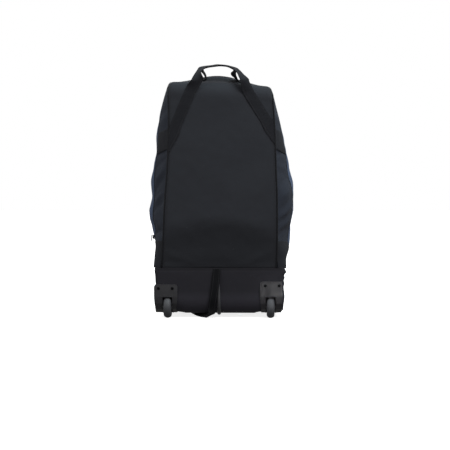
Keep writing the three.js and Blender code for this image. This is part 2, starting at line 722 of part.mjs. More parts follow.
// The outline, in Y and Z, of the base's back edge moved outwards, from a height on the back to underneath.
function backEdgePath(outset, topZ, endY) {
  const centre = { y: BASE_BACK_Y + BASE_BACK_RADIUS, z: BASE_BOTTOM_Z + BASE_BACK_RADIUS };
  const radius = BASE_BACK_RADIUS + outset;
  const path = [new THREE.Vector2(BASE_BACK_Y - outset, topZ)];
  for (let angle = 0; angle <= 90; angle += 10) {
    const [c, s] = [Math.cos(radians(angle)), Math.sin(radians(angle))];
    path.push(new THREE.Vector2(centre.y - radius * c, centre.z - radius * s));
  }
  path.push(new THREE.Vector2(endY, BASE_BOTTOM_Z - outset));
  return path;
}

// A moulded corner bracket: a plate round the base's back edge, the wheel's well and the wheel's slot.
function wheelBracket({ x, bracketX, bracketTop }) {
  const inner = backEdgePath(GAP, bracketTop, BRACKET_UNDER_Y);
  const outer = backEdgePath(GAP + BRACKET_PLATE, bracketTop, BRACKET_UNDER_Y);
  const profile = new THREE.Shape([...outer, ...inner.reverse()]);
  const plate = new THREE.ExtrudeGeometry(profile, { depth: 2 * BRACKET_HALF, bevelEnabled: false });
  plate.applyMatrix4(new THREE.Matrix4().makeBasis(point(0, 1, 0), point(0, 0, 1), point(1, 0, 0)));
  plate.translate(bracketX - BRACKET_HALF, 0, 0);
  const housing = block(
    point(x - WELL_HALF - WELL_WALL, BASE_BACK_Y + 1, BASE_BOTTOM_Z + 1),
    point(x + WELL_HALF + WELL_WALL, WELL_FRONT_Y + WELL_WALL, WELL_ROOF_Z + WELL_WALL),
  );
  const edge = new THREE.Shape([...backEdgePath(GAP + 0.1, 200, 50), new THREE.Vector2(50, 200)]);
  const inside = new THREE.ExtrudeGeometry(edge, { depth: 4 * BRACKET_HALF, bevelEnabled: false });
  inside.applyMatrix4(new THREE.Matrix4().makeBasis(point(0, 1, 0), point(0, 0, 1), point(1, 0, 0)));
  inside.translate(x - 2 * BRACKET_HALF, 0, 0);
  const [left, right] = [x - WELL_HALF, x + WELL_HALF];
  const slot = block(point(left, BASE_BACK_Y - 30, -10), point(right, WELL_FRONT_Y, SLOT_TOP_Z));
  const well = block(point(left, BASE_BACK_Y + 4, -10), point(right, WELL_FRONT_Y, WELL_ROOF_Z));
  const axleHole = bar(x - 2 * BRACKET_HALF, x + 2 * BRACKET_HALF, WHEEL_Y, WHEEL_RADIUS, AXLE_RADIUS + 0.2);
  const screwHoles = screwPlaces({ bracketX, bracketTop }).map((at) => (
    solid(screwBar(at, SCREW_RADIUS + 0.3, -10, 10))
  ));
  const moulded = solid(plate).add(solid(housing).intersect(solid(inside)));
  return geometryOf(wasm.Manifold.difference(
    [moulded, solid(slot), solid(well), solid(axleHole), ...screwHoles],
  ));
}

function screwPlaces({ bracketX, bracketTop }) {
  const z = bracketTop - SCREW_BELOW_TOP;
  return [-0.5, 0.5].map((share) => ({ x: bracketX + share * SCREW_SPACING, z }));
}

// A round bar along Y through a bracket's plate, between two depths from the plate's inner face.
function screwBar({ x, z }, radius, from, to) {
  const back = BASE_BACK_Y - GAP;
  const geometry = new THREE.CylinderGeometry(radius, radius, to - from, 14);
  return geometry.translate(x, back - (from + to) / 2, z);
}

function screw(place) {
  return screwBar(place, SCREW_RADIUS, 0.1, BRACKET_PLATE - 1);
}

function axle(x) {
  const reach = WELL_HALF + WELL_WALL - 0.3;
  return bar(x - reach, x + reach, WHEEL_Y, WHEEL_RADIUS, AXLE_RADIUS);
}

// A ring turned about X through a profile of places along the axis and radii.
function turned(profile, x) {
  const corners = [...profile, profile[0]].reverse();
  const closed = corners.map(([along, radius]) => new THREE.Vector2(radius, along));
  const ring = new THREE.LatheGeometry(closed, WHEEL_SIDES, Math.PI / WHEEL_SIDES);
  return ring.rotateZ(-Math.PI / 2).translate(x, WHEEL_Y, WHEEL_RADIUS);
}

function tyre(x) {
  const w = WHEEL_HALF_WIDTH;
  return turned([
    [-w, HUB_RADIUS], [w, HUB_RADIUS], [w, WHEEL_RADIUS - 9], [0.86 * w, WHEEL_RADIUS - 3.5],
    [0.55 * w, WHEEL_RADIUS - 0.6], [0, WHEEL_RADIUS], [-0.55 * w, WHEEL_RADIUS - 0.6],
    [-0.86 * w, WHEEL_RADIUS - 3.5], [-w, WHEEL_RADIUS - 9],
  ], x);
}

function hub(x) {
  const w = WHEEL_HALF_WIDTH;
  const rim = HUB_RADIUS - 0.3;
  const bore = AXLE_RADIUS + 0.3;
  return turned([
    [-w - 1.2, bore], [w + 1.2, bore], [w + 1.2, 8], [w - 3, 10], [w - 3, rim - 3.5],
    [w - 0.5, rim - 2], [w - 0.5, rim],
    [0.5 - w, rim], [0.5 - w, rim - 2], [3 - w, rim - 3.5], [3 - w, 10], [-w - 1.2, 8],
  ], x);
}

// A plain moulded foot under the front of the base.
function foot(x) {
  const level = (z, grow) => [[-1, -1], [1, -1], [1, 1], [-1, 1]].map(([a, b]) => (
    point(x + a * (FOOT.length / 2 + grow), FOOT.y + b * (FOOT.width / 2 + grow), z)
  ));
  return loft([level(0, -FOOT.topInset), level(4, 0), level(BASE_BOTTOM_Z - GAP, 0)]);
}

// A half-round plastic rail over the base's back edge, tapering to nothing at both ends.
function skidRail() {
  const path = backEdgePath(GAP, SKID_TOP_Z, SKID_END_Y);
  const steps = [path[0], path[0].clone().lerp(path[1], 0.5), ...path.slice(1)];
  return loft(steps.map((at, i) => {
    const before = steps[Math.max(i - 1, 0)];
    const after = steps[Math.min(i + 1, steps.length - 1)];
    const along = after.clone().sub(before).normalize();
    const out = point(0, along.y, -along.x);
    const share = Math.sin(Math.PI * mix(0.1, 0.86, i / (steps.length - 1))) ** 0.7;
    return [180, 135, 90, 45, 0].map((angle) => {
      const x = SKID_X + share * SKID_HALF_WIDTH * Math.cos(radians(angle));
      const lift = 0.2 + share * SKID_HEIGHT * Math.sin(radians(angle));
      return point(x, at.x, at.y).addScaledVector(out, lift);
    });
  }));
}

// Assembly

// Moved so that the middle of the whole bag stands over the origin: it swells more to the right and the back.
const bag = new THREE.Group();
bag.position.set(-4, 1.4, 0);

// The bag's soft top sags a little to the right.
function lean(geometry) {
  const at = geometry.attributes.position;
  for (let i = 0; i < at.count; i += 1) {
    const share = THREE.MathUtils.smoothstep(at.getZ(i), TOP_Z - 110, TOP_Z);
    at.setZ(i, at.getZ(i) - TOP_LEAN * share * at.getX(i));
  }
  return geometry;
}

function piece(name, geometry, material) {
  const mesh = new THREE.Mesh(lean(geometry), material);
  mesh.name = name;
  bag.add(mesh);
}

piece("back_panel", widePanel(backStations(), -1), BLACK_CLOTH);
piece("front_panel", widePanel(frontStations(), 1), BLUE_CLOTH);
for (const side of ["left", "right"]) {
  piece(`back_side_${side}`, sidePanel(side, sideHeights(), shares(6), backSideY, CLOTH), SIDE_CLOTH);
  piece(`front_side_${side}`, sidePanel(side, sideHeights(), shares(7), frontSideY, CLOTH), BLUE_CLOTH);
  piece(`piping_${side}`, piping(side), WEBBING_BLACK);
  for (const band of SIDE_BANDS) piece(`${band.name}_${side}`, sideBand(side, band), BAND_BLACK);
}
piece("zip_chain", zipChain(), WEBBING_BLACK);
piece("zip_slider", zipSlider(), BRACKET_PLASTIC);
piece("zip_pull", zipPull(), BRACKET_PLASTIC);
piece("handle_strap", handleStrap(), WEBBING_BLACK);
piece("handle_lining", handleLining(), WEBBING_BLACK);
piece("grab_strap", grabStrap(), WEBBING_BLACK);
piece("base_tub", baseTub(), BASE_CLOTH);
piece("skid_rail", skidRail(), BRACKET_PLASTIC);
for (const wheel of WHEELS) {
  const { side, x } = wheel;
  piece(`wheel_bracket_${side}`, wheelBracket(wheel), BRACKET_PLASTIC);
  screwPlaces(wheel).forEach((at, i) => piece(`bracket_screw_${side}_${i + 1}`, screw(at), BRACKET_PLASTIC));
  piece(`axle_${side}`, axle(x), STEEL);
  piece(`tyre_${side}`, tyre(x), TYRE_RUBBER);
  piece(`hub_${side}`, hub(x), BRACKET_PLASTIC);
}
for (const [side, x] of [["left", -FOOT.x], ["right", FOOT.x]]) {
  piece(`foot_${side}`, foot(x), BRACKET_PLASTIC);
}

export default bag;
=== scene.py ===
"""The looks of a foldable wheeled travel bag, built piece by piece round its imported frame."""

import json
import math
from functools import lru_cache, wraps

import bmesh
import bpy
from bpy.props import FloatProperty, FloatVectorProperty, PointerProperty
from mathutils import Matrix, Vector, noise
from mathutils.bvhtree import BVHTree

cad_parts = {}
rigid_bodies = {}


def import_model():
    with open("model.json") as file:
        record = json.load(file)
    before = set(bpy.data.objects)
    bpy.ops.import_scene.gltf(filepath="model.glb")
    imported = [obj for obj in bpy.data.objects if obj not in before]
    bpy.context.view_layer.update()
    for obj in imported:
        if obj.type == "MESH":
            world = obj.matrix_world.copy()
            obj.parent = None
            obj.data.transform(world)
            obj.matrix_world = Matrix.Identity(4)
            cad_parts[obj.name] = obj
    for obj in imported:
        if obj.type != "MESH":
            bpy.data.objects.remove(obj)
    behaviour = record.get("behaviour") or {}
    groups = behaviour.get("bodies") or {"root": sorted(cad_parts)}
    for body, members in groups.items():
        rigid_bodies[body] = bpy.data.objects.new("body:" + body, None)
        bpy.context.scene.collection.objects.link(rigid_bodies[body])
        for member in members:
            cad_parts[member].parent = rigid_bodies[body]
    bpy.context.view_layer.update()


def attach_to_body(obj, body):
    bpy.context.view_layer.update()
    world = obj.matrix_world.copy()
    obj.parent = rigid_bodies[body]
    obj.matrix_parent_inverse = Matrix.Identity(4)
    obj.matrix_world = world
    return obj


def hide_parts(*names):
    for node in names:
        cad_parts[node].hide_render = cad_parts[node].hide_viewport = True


bl_info = {
    "name": "Foldable Travel Bag",
    "version": (1, 0, 0),
    "blender": (4, 5, 0),
    "location": "View3D > Sidebar > Travel Bag",
    "description": "Builds a foldable wheeled travel bag round its packed frame",
    "category": "Add Mesh",
}

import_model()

# The bag's own measures, in millimetres, as the frame has them
MM = 0.001
SHIFT = Vector((-4.0, 1.4, 0.0))
GAP = 0.4
PIPING_SEAT = 0.9
PIPING_SIDES = 12
PIPING_STEPS = 190
SEAM_Z = 143.0
TOP_Z = 640.0
TOP_LEAN = 0.05
SWELL_SHAPE = 1.3
SHOULDER_SHAPE = 36
HUMP_SHAPE = 3
TOP_BACK_RADIUS = 28.0
TOP_FRONT_RADIUS = 50.0
ZIP_Y = -74.0
ZIP_END_Z = 218.0
ZIP_RISE = 0.8
ZIP_HALF = 3.7
ZIP_GAP = 4.0
SIDES = (("left", -1.0), ("right", 1.0))

# How high the shoulders of the bag's top stand over its side seams, and the hump in its middle over them
FLAT_TOP = (0.0, 0.0)
TOP_AT_BACK = (20.0, 6.0)
TOP_AT_ZIP = (24.0, 24.0)
TOP_AT_FRONT = (22.0, 14.0)

# Horizontal sections of the soft body, from the base seam to the top
COLUMNS = ("height", "back_y", "back_half", "back_shift", "back_crown", "left", "right",
           "left_fullness", "right_fullness", "front_half", "front_y", "front_crown")
BODY_SECTIONS = (
    (143, -146, 160, -1.5, 1, 186, 187, 20, 20, 168, 138, 4),
    (170, -149, 160, -0.5, 4, 189, 191, 9, 9, 168, 140, 12),
    (205, -152, 160, 1, 6, 187, 202.5, 5.5, 2.6, 167, 141, 18),
    (240, -155, 159, 2, 7, 199, 204, 1.7, 2.1, 166, 141, 22),
    (283, -157, 158, 3, 8, 209, 208, 1.6, 3, 164, 140, 25),
    (345, -157, 156, 4.4, 8, 203.5, 213, 1.65, 3, 162, 138, 26),
    (405, -156, 152.5, 5.6, 8, 202, 206, 1.9, 1.7, 159, 135, 26),
    (468, -154, 150, 6, 8, 190, 194, 2.3, 2.1, 156, 131, 26),
    (500, -153, 149, 6, 8, 188, 185.5, 2.3, 2.3, 154, 129, 26),
    (545, -151, 147.5, 5.6, 9, 184.5, 176.5, 2.3, 2.3, 151, 125, 26),
    (600, -149, 146.5, 3.6, 10, 171, 163, 2.3, 2.3, 149, 120, 26),
    (640, -147, 146, 1.6, 12, 157, 153, 2.3, 2.3, 148, 116, 26),
)

# Soft folds in the cloth: two ends, half width and height. Back folds lie in X and length up the panel,
# side folds in Y and Z.
BACK_FOLDS = (
    (-150, 112, -10, 136, 30, 1.8),
    (-10, 136, 150, 100, 30, 1.8),
    (-150, 66, 150, 62, 34, -1.8),
    (-60, 480, 60, 470, 26, 1.4),
    (-120, 330, 60, 300, 60, 1.6),
    (20, 250, 140, 300, 46, -1.6),
    (-150, 40, -60, 8, 12, 1.2),
    (150, 44, 70, 10, 12, 1.2),
)
SIDE_FOLDS = {
    "left": (
        (-150, 246, -68, 240, 7, -4.0),
        (-150, 262, -68, 268, 12, 2.6),
        (-150, 330, -70, 300, 10, -2.6),
        (-150, 352, -70, 322, 9, 2.4),
        (-150, 398, -70, 352, 10, -2.4),
        (-150, 424, -70, 380, 10, 2.2),
        (-150, 452, -70, 420, 9, -2.2),
        (-148, 466, -70, 462, 7, -2.8),
        (-146, 560, -70, 545, 11, 1.8),
        (-146, 588, -70, 570, 10, -1.8),
    ),
    "right": (
        (-150, 232, -70, 266, 8, -2.6),
        (-150, 250, -70, 288, 8, 2.6),
        (-150, 268, -70, 308, 8, -2.8),
        (-150, 286, -70, 330, 9, 2.6),
        (-150, 304, -70, 352, 9, -2.6),
        (-150, 336, -70, 380, 10, 2.0),
        (-150, 372, -70, 404, 10, -2.0),
        (-150, 430, -70, 418, 10, 1.8),
        (-148, 462, -70, 470, 7, -2.4),
        (-146, 566, -70, 548, 11, 1.8),
        (-146, 600, -70, 584, 10, -1.6),
    ),
}
FRONT_SIDE_FOLDS = (
    (-60, 252, 120, 300, 14, -1.8),
    (-60, 290, 120, 346, 14, 1.8),
    (-60, 330, 110, 372, 13, -1.6),
    (-60, 372, 110, 424, 14, 1.6),
    (-60, 420, 110, 440, 13, -1.7),
    (-60, 466, 110, 478, 11, -1.8),
    (-60, 520, 100, 500, 14, 1.6),
    (-60, 560, 90, 540, 14, -1.4),
    (-40, 200, 130, 214, 13, -1.6),
)
FRONT_FOLDS = (
    (-150, 250, 120, 236, 26, 3.0),
    (-140, 300, 150, 320, 24, -3.0),
    (-150, 372, 140, 356, 26, 2.8),
    (-140, 432, 150, 446, 24, -3.0),
    (-150, 500, 120, 488, 22, 2.4),
    (-140, 560, 150, 566, 20, -2.4),
    (-150, 610, 150, 604, 18, 2.0),
)

# How far folds run past their ends, how far in they fade, and how far they wander, as shares
FOLD_END, FOLD_FADE, FOLD_WANDER = 0.15, 0.25, 0.35

# The strips of cloth that sewing holds flat, the heights of ripples between them, and the sides' edges
WIDE_HOLD, WIDE_HEM, WIDE_RIPPLE, WIDE_RIPPLE_SIZE = 0.14, 16, 1.1, 85
SIDE_HEM, SIDE_END_HEM, SIDE_RIPPLE = 13, 18, 1.2
SIDE_BELOW_TOP, BACK_SIDE_INSET, FRONT_SIDE_INSET, FRONT_SIDE_TUCK = 0.5, 0.8, 0.6, 0.035

# Flat sizes of the panels, in metres, and their rows of stitching, in from both long edges and from one end
BACK_FLAT, BACK_HEMS = (0.309, 0.583), (0.006, 0.006, 0.006)
FRONT_FLAT, FRONT_HEMS = (0.325, 0.704), (0.007, 0.007, 0.005)
BACK_SIDE_FLAT, BACK_SIDE_HEMS = (0.082, 0.512), (0.006, 0.005, 0.006)
FRONT_SIDE_FLAT, FRONT_SIDE_HEMS = (0.209, 0.515), (0.005, 0.007, 0.006)

# The base
BASE_RIM_Z = 142.6
BASE_BOTTOM_Z = 15.0
BASE_HALF = 180.0
BASE_BACK_Y = -148.0
BASE_FRONT_Y = 142.0
BASE_BACK_RADIUS = 45.0
BASE_FRONT_RADIUS = 30.0
BASE_END_RADIUS = 12.0
BASE_CORNER_RADIUS = 9.0
BASE_FLANGE = 26.0
BASE_SAG = 3.5
BASE_SAG_X, BASE_SAG_Y, BASE_SAG_Z = (112, 96), (-84, -104), (75, 25)
BASE_FLAT = (1.32, 0.185)
BASE_CLOTH = 0.0025
BASE_STITCH = 0.034

# Wheels, brackets and feet
WHEELS = (("left", -147.0, -152.5, 96.0), ("right", 143.6, 147.5, 104.0))
WHEEL_Y = -128.0
WHEEL_RADIUS = 32.0
WHEEL_HALF_WIDTH = 11.0
TREAD_DEPTH = 9
HUB_RADIUS = 20.0
AXLE_RADIUS = 3.0
BRACKET_HALF = 34.0
BRACKET_PLATE = 3.2
BRACKET_TAPER = 4.0
BRACKET_TRIM = {"left": 2.0, "right": 5.5}
BRACKET_BENDS = 4
BRACKET_CORNER = 8.0
BRACKET_LIP = 2.6
BRACKET_MESH = 4
SCREW_ROOM = 1.6
SCREW_Y = BASE_BACK_Y - GAP - BRACKET_PLATE + 2.2
BRACKET_UNDER_Y = -72.0
WELL_HALF = 13.5
WELL_WALL = 3.0
WELL_FRONT_Y = -93.0
WELL_ROOF_Z = 67.0
SLOT_TOP_Z = 60.0
SCREW_SPACING = 39.0
SCREW_BELOW_TOP = 12.0
SCREW_RADIUS = 4.2
FOOT_X, FOOT_Y, FOOT_LENGTH, FOOT_WIDTH = 128.0, 96.0, 52.0, 26.0

# Webbing
HANDLE_WIDTH = 30.0
STRAP_OFF = 1.3
LINING_WIDTH = 26.0
GRAB_WIDTH = 21.0
WEBBING_EDGE = 0.0005
STRAP_FREE_Z, STRAP_LIFTS_Z = 655, (585, 618)
STRAPS = {"left": (497.0, -78.0, 640.0), "right": (517.0, 80.0, 640.0)}
# The grip's edges as seen from behind: X and Z of the far edge, X and Z of the near edge, and Y of the middle
HANDLE_EDGES = {
    "left": (
        (-80, 661.5, -45.5, 664.5, -161), (-72, 677.5, -47, 675, -157.5), (-68, 685.5, -49.5, 680, -152.5),
        (-64.5, 692, -51, 685.5, -147), (-62, 697.5, -50.5, 690, -141), (-58.5, 703.5, -46.5, 694.5, -135),
        (-51.5, 707, -42.5, 699.5, -131), (-42, 709.5, -37.5, 703, -128), (-22.5, 713, -21.5, 706.5, -125),
        (-11, 715.5, -10, 709, -125), (-1, 716, -0.5, 710, -125),
    ),
    "right": (
        (83.5, 666.5, 58, 667.5, -161), (82, 673.5, 56.5, 672.5, -160), (75.5, 680.5, 54.5, 677, -156.5),
        (67.5, 688, 52, 683.5, -150.5), (61, 695.5, 49.5, 689, -144), (55, 702, 45.5, 694, -138),
        (48, 707.5, 41, 698.5, -132.5), (38, 711, 35.5, 704, -128), (23, 714.5, 23, 708.5, -125),
        (13, 715.5, 14, 710, -125),
    ),
}
LINING_TAB_Y = -99.0
# The lining's tabs: X, rise over the bag's top and slope
LINING_TABS = {
    "left": ((-58, 0.3, 0.33), (-46, 1.2, 0.36)),
    "right": ((66, 0.3, 0.33), (58, 1.0, 0.36)),
}
LINING_EDGES = {
    "left": (
        (-36.5, 677, -41.5, 671.5, -100.5), (-39, 681.5, -42, 677.5, -103), (-39.5, 685.5, -43.5, 682, -107),
        (-41.5, 690, -46.5, 686, -112), (-43.5, 693, -49.5, 689, -117), (-46, 696.5, -51.5, 692, -121.5),
        (-46.5, 700, -49.5, 695, -124), (-42.5, 704, -44, 698.5, -125), (-33.5, 707.5, -33, 702.5, -124.5),
        (-22, 710.5, -21.5, 705, -124), (-11, 712.5, -10, 707, -123.5), (-1, 714, -0.5, 708.5, -123.5),
    ),
    "right": (
        (46, 678, 52.5, 673.5, -101), (42.5, 681.5, 49.5, 678.5, -103), (39, 684.5, 47.5, 682.5, -106),
        (34.5, 687.5, 46.5, 685.5, -109), (32, 690, 45.5, 688.5, -111.5), (31, 693.5, 45.5, 691.5, -114),
        (32.5, 696.5, 45.5, 694, -116.5), (37, 699.5, 45, 696, -119), (39.5, 703, 42, 698.5, -122.5),
        (36, 707, 36.5, 701.5, -124.5), (23, 712.5, 23.5, 707, -124), (13, 713.5, 13.5, 708.5, -123.5),
    ),
}
# The grab strap's places and its twist there, in degrees
GRAB_STATIONS = (
    (-7.5, -150.2, 140, 0), (-9.2, -152.4, 118, 0), (-11, -154.4, 98, 0), (-14.5, -155.6, 72, 0),
    (-18, -155.2, 53, 0), (-21, -151, 33, 0), (-23, -145.5, 16, -12), (-27, -135, 7.0, -30),
    (-36, -120, 6.4, -33), (-48, -104, 6.2, -29), (-59, -91, 7.4, -24), (-69, -78, 9.6, -16),
    (-79, -64, 12, -8), (-89, -51, 13.2, 0), (-99, -38, 13.4, 0),
)
SKID_X = -2.0
SKID_HALF_WIDTH = 5.5
SKID_HEIGHT = 5.0
SKID_TOP_Z = 98.0
SKID_END_Y = -58.0
SKID_ROUND = 0.72
SKID_GREY = (0.035, 0.035, 0.038)

# The line below which painted shade darkens the back's cloth, in metres, and how it arches
PAINTED_SHADE_Z = 0.290
PAINTED_SHADE_ARCH = 1.7

# Stitching, and how high dust reaches on cloth and on other pieces, in metres
STITCH_PITCH = 0.0044
WEBBING_HEM = 0.003
CLOTH_DUST_TOP = 0.02
DUST_TOP = 0.03

# The camera's aim and place, and the lights: name, place, aim, size, power, spread and colour
CAMERA_AIM = Vector((0.0114, -0.15, 0.263))
CAMERA_DISTANCE = 2.9
CAMERA_AZIMUTH = math.radians(1.2)
CAMERA_HEIGHT = 0.33
SENSOR = 36.0
VIEW_WIDTH = 1.26
WHITE = (1.0, 1.0, 1.0)
LIGHTS = (
    ("Key light", (1.4, -2.0, 2.8), (0, 0, 0.35), 1.6, 88, 180, WHITE),
    ("Fill light", (-2.4, -1.4, 1.8), (0, 0, 0.35), 2.0, 20, 180, WHITE),
    ("Top light", (0.5, -0.4, 2.8), (0, 0, 0.4), 1.8, 30, 180, (0.58, 0.92, 1.0)),
    ("Low light", (0.75, -1.7, 0.25), (0.155, -0.15, 0.080), 0.08, 0.009, 4, WHITE),
)


# Settings that a user would change

def colour_setting(name, description, value):
    return FloatVectorProperty(name=name, description=description, default=value, size=3,
                               min=0.0, max=1.0, subtype="COLOR")


def length_setting(name, description, value):
    return FloatProperty(name=name, description=description, default=value, min=0.0,
                         unit="LENGTH", precision=4)


class BagColours(bpy.types.PropertyGroup):
    back: colour_setting("Back cloth", "Colour of the back panel", (0.0194, 0.0206, 0.0250))
    side: colour_setting("Side cloth", "Colour of the sides behind the zip", (0.0193, 0.0228, 0.0324))
    band: colour_setting("Bands", "Colour of the bands across the sides", (0.0127, 0.0136, 0.0172))
    front: colour_setting("Front cloth", "Colour of the front part", (0.052, 0.071, 0.118))
    base: colour_setting("Base cloth", "Colour of the cloth over the base", (0.0148, 0.0141, 0.0180))
    webbing: colour_setting("Webbing", "Colour of the handle and the grab strap", (0.0119, 0.0122, 0.0148))
    bracket: colour_setting("Moulded parts", "Colour of the brackets and the feet", (0.0160, 0.0153, 0.0176))
    tyre: colour_setting("Tyres", "Colour of the tyres", (0.037, 0.038, 0.043))
    hub: colour_setting("Hubs", "Colour of the wheel hubs", (0.09, 0.09, 0.095))
    thread: colour_setting("Thread", "Colour of the stitches", (0.018, 0.018, 0.020))


class BagSizes(bpy.types.PropertyGroup):
    cloth: length_setting("Cloth", "Thickness of the bag's padded cloth", 0.002)
    band: length_setting("Band", "Thickness of the bands across the sides", 0.0012)
    webbing: length_setting("Webbing", "Thickness of the webbing", 0.0018)
    piping: length_setting("Piping", "Radius of the piped seams", 0.0019)
    yarn: length_setting("Yarn", "Distance between the yarns of the cloth", 0.0011)
    rib: length_setting("Rib", "Distance between the ribs of the webbing", 0.0016)


def colours():
    return bpy.context.scene.bag_colours


def sizes():
    return bpy.context.scene.bag_sizes


# Shapes of the soft body

def mix(a, b, share):
    return a + (b - a) * share


def clamp(value, low=0.0, high=1.0):
    return min(max(value, low), high)


def ease(value, start, end):
    """0 at start, 1 at end and smooth between them."""
    t = clamp((value - start) / (end - start))
    return t * t * (3 - 2 * t)


def place(x, y, z):
    """A point of the bag in its own millimetres, as the frame has it: the soft top leans to the right."""
    z -= TOP_LEAN * ease(z, TOP_Z - 110, TOP_Z) * x
    return (Vector((x, y, z)) + SHIFT) * MM


@lru_cache(maxsize=None)
def section(height, column):
    """One column of the section table at any height, on a smooth curve through the rows."""
    k = COLUMNS.index(column)
    rows = BODY_SECTIONS
    i = 0
    while i < len(rows) - 2 and height > rows[i + 1][0]:
        i += 1

    def slope(n):
        below, above = rows[max(n - 1, 0)], rows[min(n + 1, len(rows) - 1)]
        return (above[k] - below[k]) / (above[0] - below[0])

    span = rows[i + 1][0] - rows[i][0]
    t = (height - rows[i][0]) / span
    rise = t * t * (3 - 2 * t)
    bend = slope(i) * t * (1 - t) ** 2 - slope(i + 1) * t * t * (1 - t)
    return mix(rows[i][k], rows[i + 1][k], rise) + span * bend


def swell_shape(u):
    return max(1 - u * u, 0.0) ** SWELL_SHAPE


def end_edge(column, radius, outward, height, inset):
    """Y of the back or front edge of the sides at a height, with the bag's rounded top."""
    centre_z = TOP_Z - radius
    if height <= centre_z:
        return section(height, column) - outward * inset
    reach = math.sqrt(max((radius - inset) ** 2 - (height - centre_z) ** 2, 0.0))
    return section(centre_z, column) - outward * (radius - reach)


def back_edge(height, inset=0.0):
    return end_edge("back_y", TOP_BACK_RADIUS, -1, height, inset)


def front_edge(height, inset=0.0):
    return end_edge("front_y", TOP_FRONT_RADIUS, 1, height, inset)


def side_half(side, y, height):
    """Half the width of one side of the body at a place."""
    back = back_edge(height)
    t = (y - back) / (front_edge(height) - back)
    shift = section(height, "back_shift")
    back_half = section(height, "back_half") + (-shift if side == "left" else shift)
    front_half = section(height, "front_half")
    bulge = section(height, side) - (back_half + front_half) / 2
    fullness = section(height, f"{side}_fullness")
    return mix(back_half, front_half, t) + bulge * (1 - abs(2 * t - 1) ** fullness)


def zip_half_gap(height):
    return mix(0.2, ZIP_GAP, clamp((height - (ZIP_END_Z - 14)) / 10))


def back_side_y(z, share):
    return mix(back_edge(z, BACK_SIDE_INSET), ZIP_Y - zip_half_gap(z), share ** 1.5)


def front_side_y(z, share):
    return mix(ZIP_Y + zip_half_gap(z), front_edge(z, FRONT_SIDE_INSET), share)


def top_corner_y():
    return section(TOP_Z - TOP_BACK_RADIUS, "back_y") + TOP_BACK_RADIUS


def between(start, end, share):
    return tuple(mix(a, b, share) for a, b in zip(start, end))


def top_swell(top, u):
    shoulder, hump = top
    return shoulder * (1 - abs(u) ** SHOULDER_SHAPE) + hump * max(1 - u * u, 0.0) ** HUMP_SHAPE


@lru_cache(maxsize=None)
def top_station(y):
    """Half width, shift to the right and swell of the bag's top at a place."""
    left, right = side_half("left", y, TOP_Z), side_half("right", y, TOP_Z)
    share = (y - top_corner_y()) / (ZIP_Y - top_corner_y())
    return (left + right) / 2 - GAP, (right - left) / 2, between(TOP_AT_BACK, TOP_AT_ZIP, share)


def top_surface_z(x, y):
    half, shift, top = top_station(y)
    return TOP_Z + top_swell(top, (x - shift) / half)


BACK_UP = TOP_Z - TOP_BACK_RADIUS - SEAM_Z - GAP
BACK_ROUND = TOP_BACK_RADIUS * math.pi / 2
BACK_TOP = ZIP_Y - ZIP_GAP - top_corner_y()
BACK_LENGTH = BACK_UP + BACK_ROUND + BACK_TOP


@lru_cache(maxsize=None)
def back_station(length):
    """Y, Z, half width, shift, swell, tilt and top of the back panel, a length up from the base seam."""
    centre_z, centre_y = TOP_Z - TOP_BACK_RADIUS, top_corner_y()
    if length <= BACK_UP:
        z = SEAM_Z + GAP + length
        half, shift = section(z, "back_half"), section(z, "back_shift")
        return section(z, "back_y"), z, half, shift, section(z, "back_crown"), 0.0, FLAT_TOP
    if length <= BACK_UP + BACK_ROUND:
        tilt = (length - BACK_UP) / TOP_BACK_RADIUS
        y, z = centre_y - TOP_BACK_RADIUS * math.cos(tilt), centre_z + TOP_BACK_RADIUS * math.sin(tilt)
        share = ease(tilt, 0, math.pi / 2)
        crown = mix(section(centre_z, "back_crown"), 0, share)
        top = between(FLAT_TOP, TOP_AT_BACK, share)
        return y, z, section(z, "back_half"), section(z, "back_shift"), crown, tilt, top
    y = centre_y + length - BACK_UP - BACK_ROUND
    half, shift, top = top_station(y)
    return y, TOP_Z, half, shift, 0.0, math.pi / 2, top


FRONT_CENTRE_Z = TOP_Z - TOP_FRONT_RADIUS
FRONT_CENTRE_Y = section(FRONT_CENTRE_Z, "front_y") - TOP_FRONT_RADIUS
FRONT_TOP = FRONT_CENTRE_Y - ZIP_Y - ZIP_GAP
FRONT_ROUND = TOP_FRONT_RADIUS * math.pi / 2
FRONT_DOWN = FRONT_CENTRE_Z - SEAM_Z - GAP
FRONT_LENGTH = FRONT_TOP + FRONT_ROUND + FRONT_DOWN


@lru_cache(maxsize=None)
def front_station(length):
    """The same for the front panel, at a length from the zip forward and down."""
    if length <= FRONT_TOP:
        y = ZIP_Y + ZIP_GAP + length
        half, shift, _ = top_station(y)
        return y, TOP_Z, half, shift, 0.0, math.pi / 2, between(TOP_AT_ZIP, TOP_AT_FRONT, length / FRONT_TOP)
    if length <= FRONT_TOP + FRONT_ROUND:
        tilt = math.pi / 2 - (length - FRONT_TOP) / TOP_FRONT_RADIUS
        z = FRONT_CENTRE_Z + TOP_FRONT_RADIUS * math.sin(tilt)
        y = FRONT_CENTRE_Y + TOP_FRONT_RADIUS * math.cos(tilt)
        share = ease(tilt, 0, math.pi / 2)
        crown = mix(section(FRONT_CENTRE_Z, "front_crown"), 0, share)
        return y, z, section(z, "front_half") - GAP, 0.0, crown, tilt, between(FLAT_TOP, TOP_AT_FRONT, share)
    z = FRONT_CENTRE_Z - (length - FRONT_TOP - FRONT_ROUND)
    return section(z, "front_y"), z, section(z, "front_half"), 0.0, section(z, "front_crown"), 0.0, FLAT_TOP


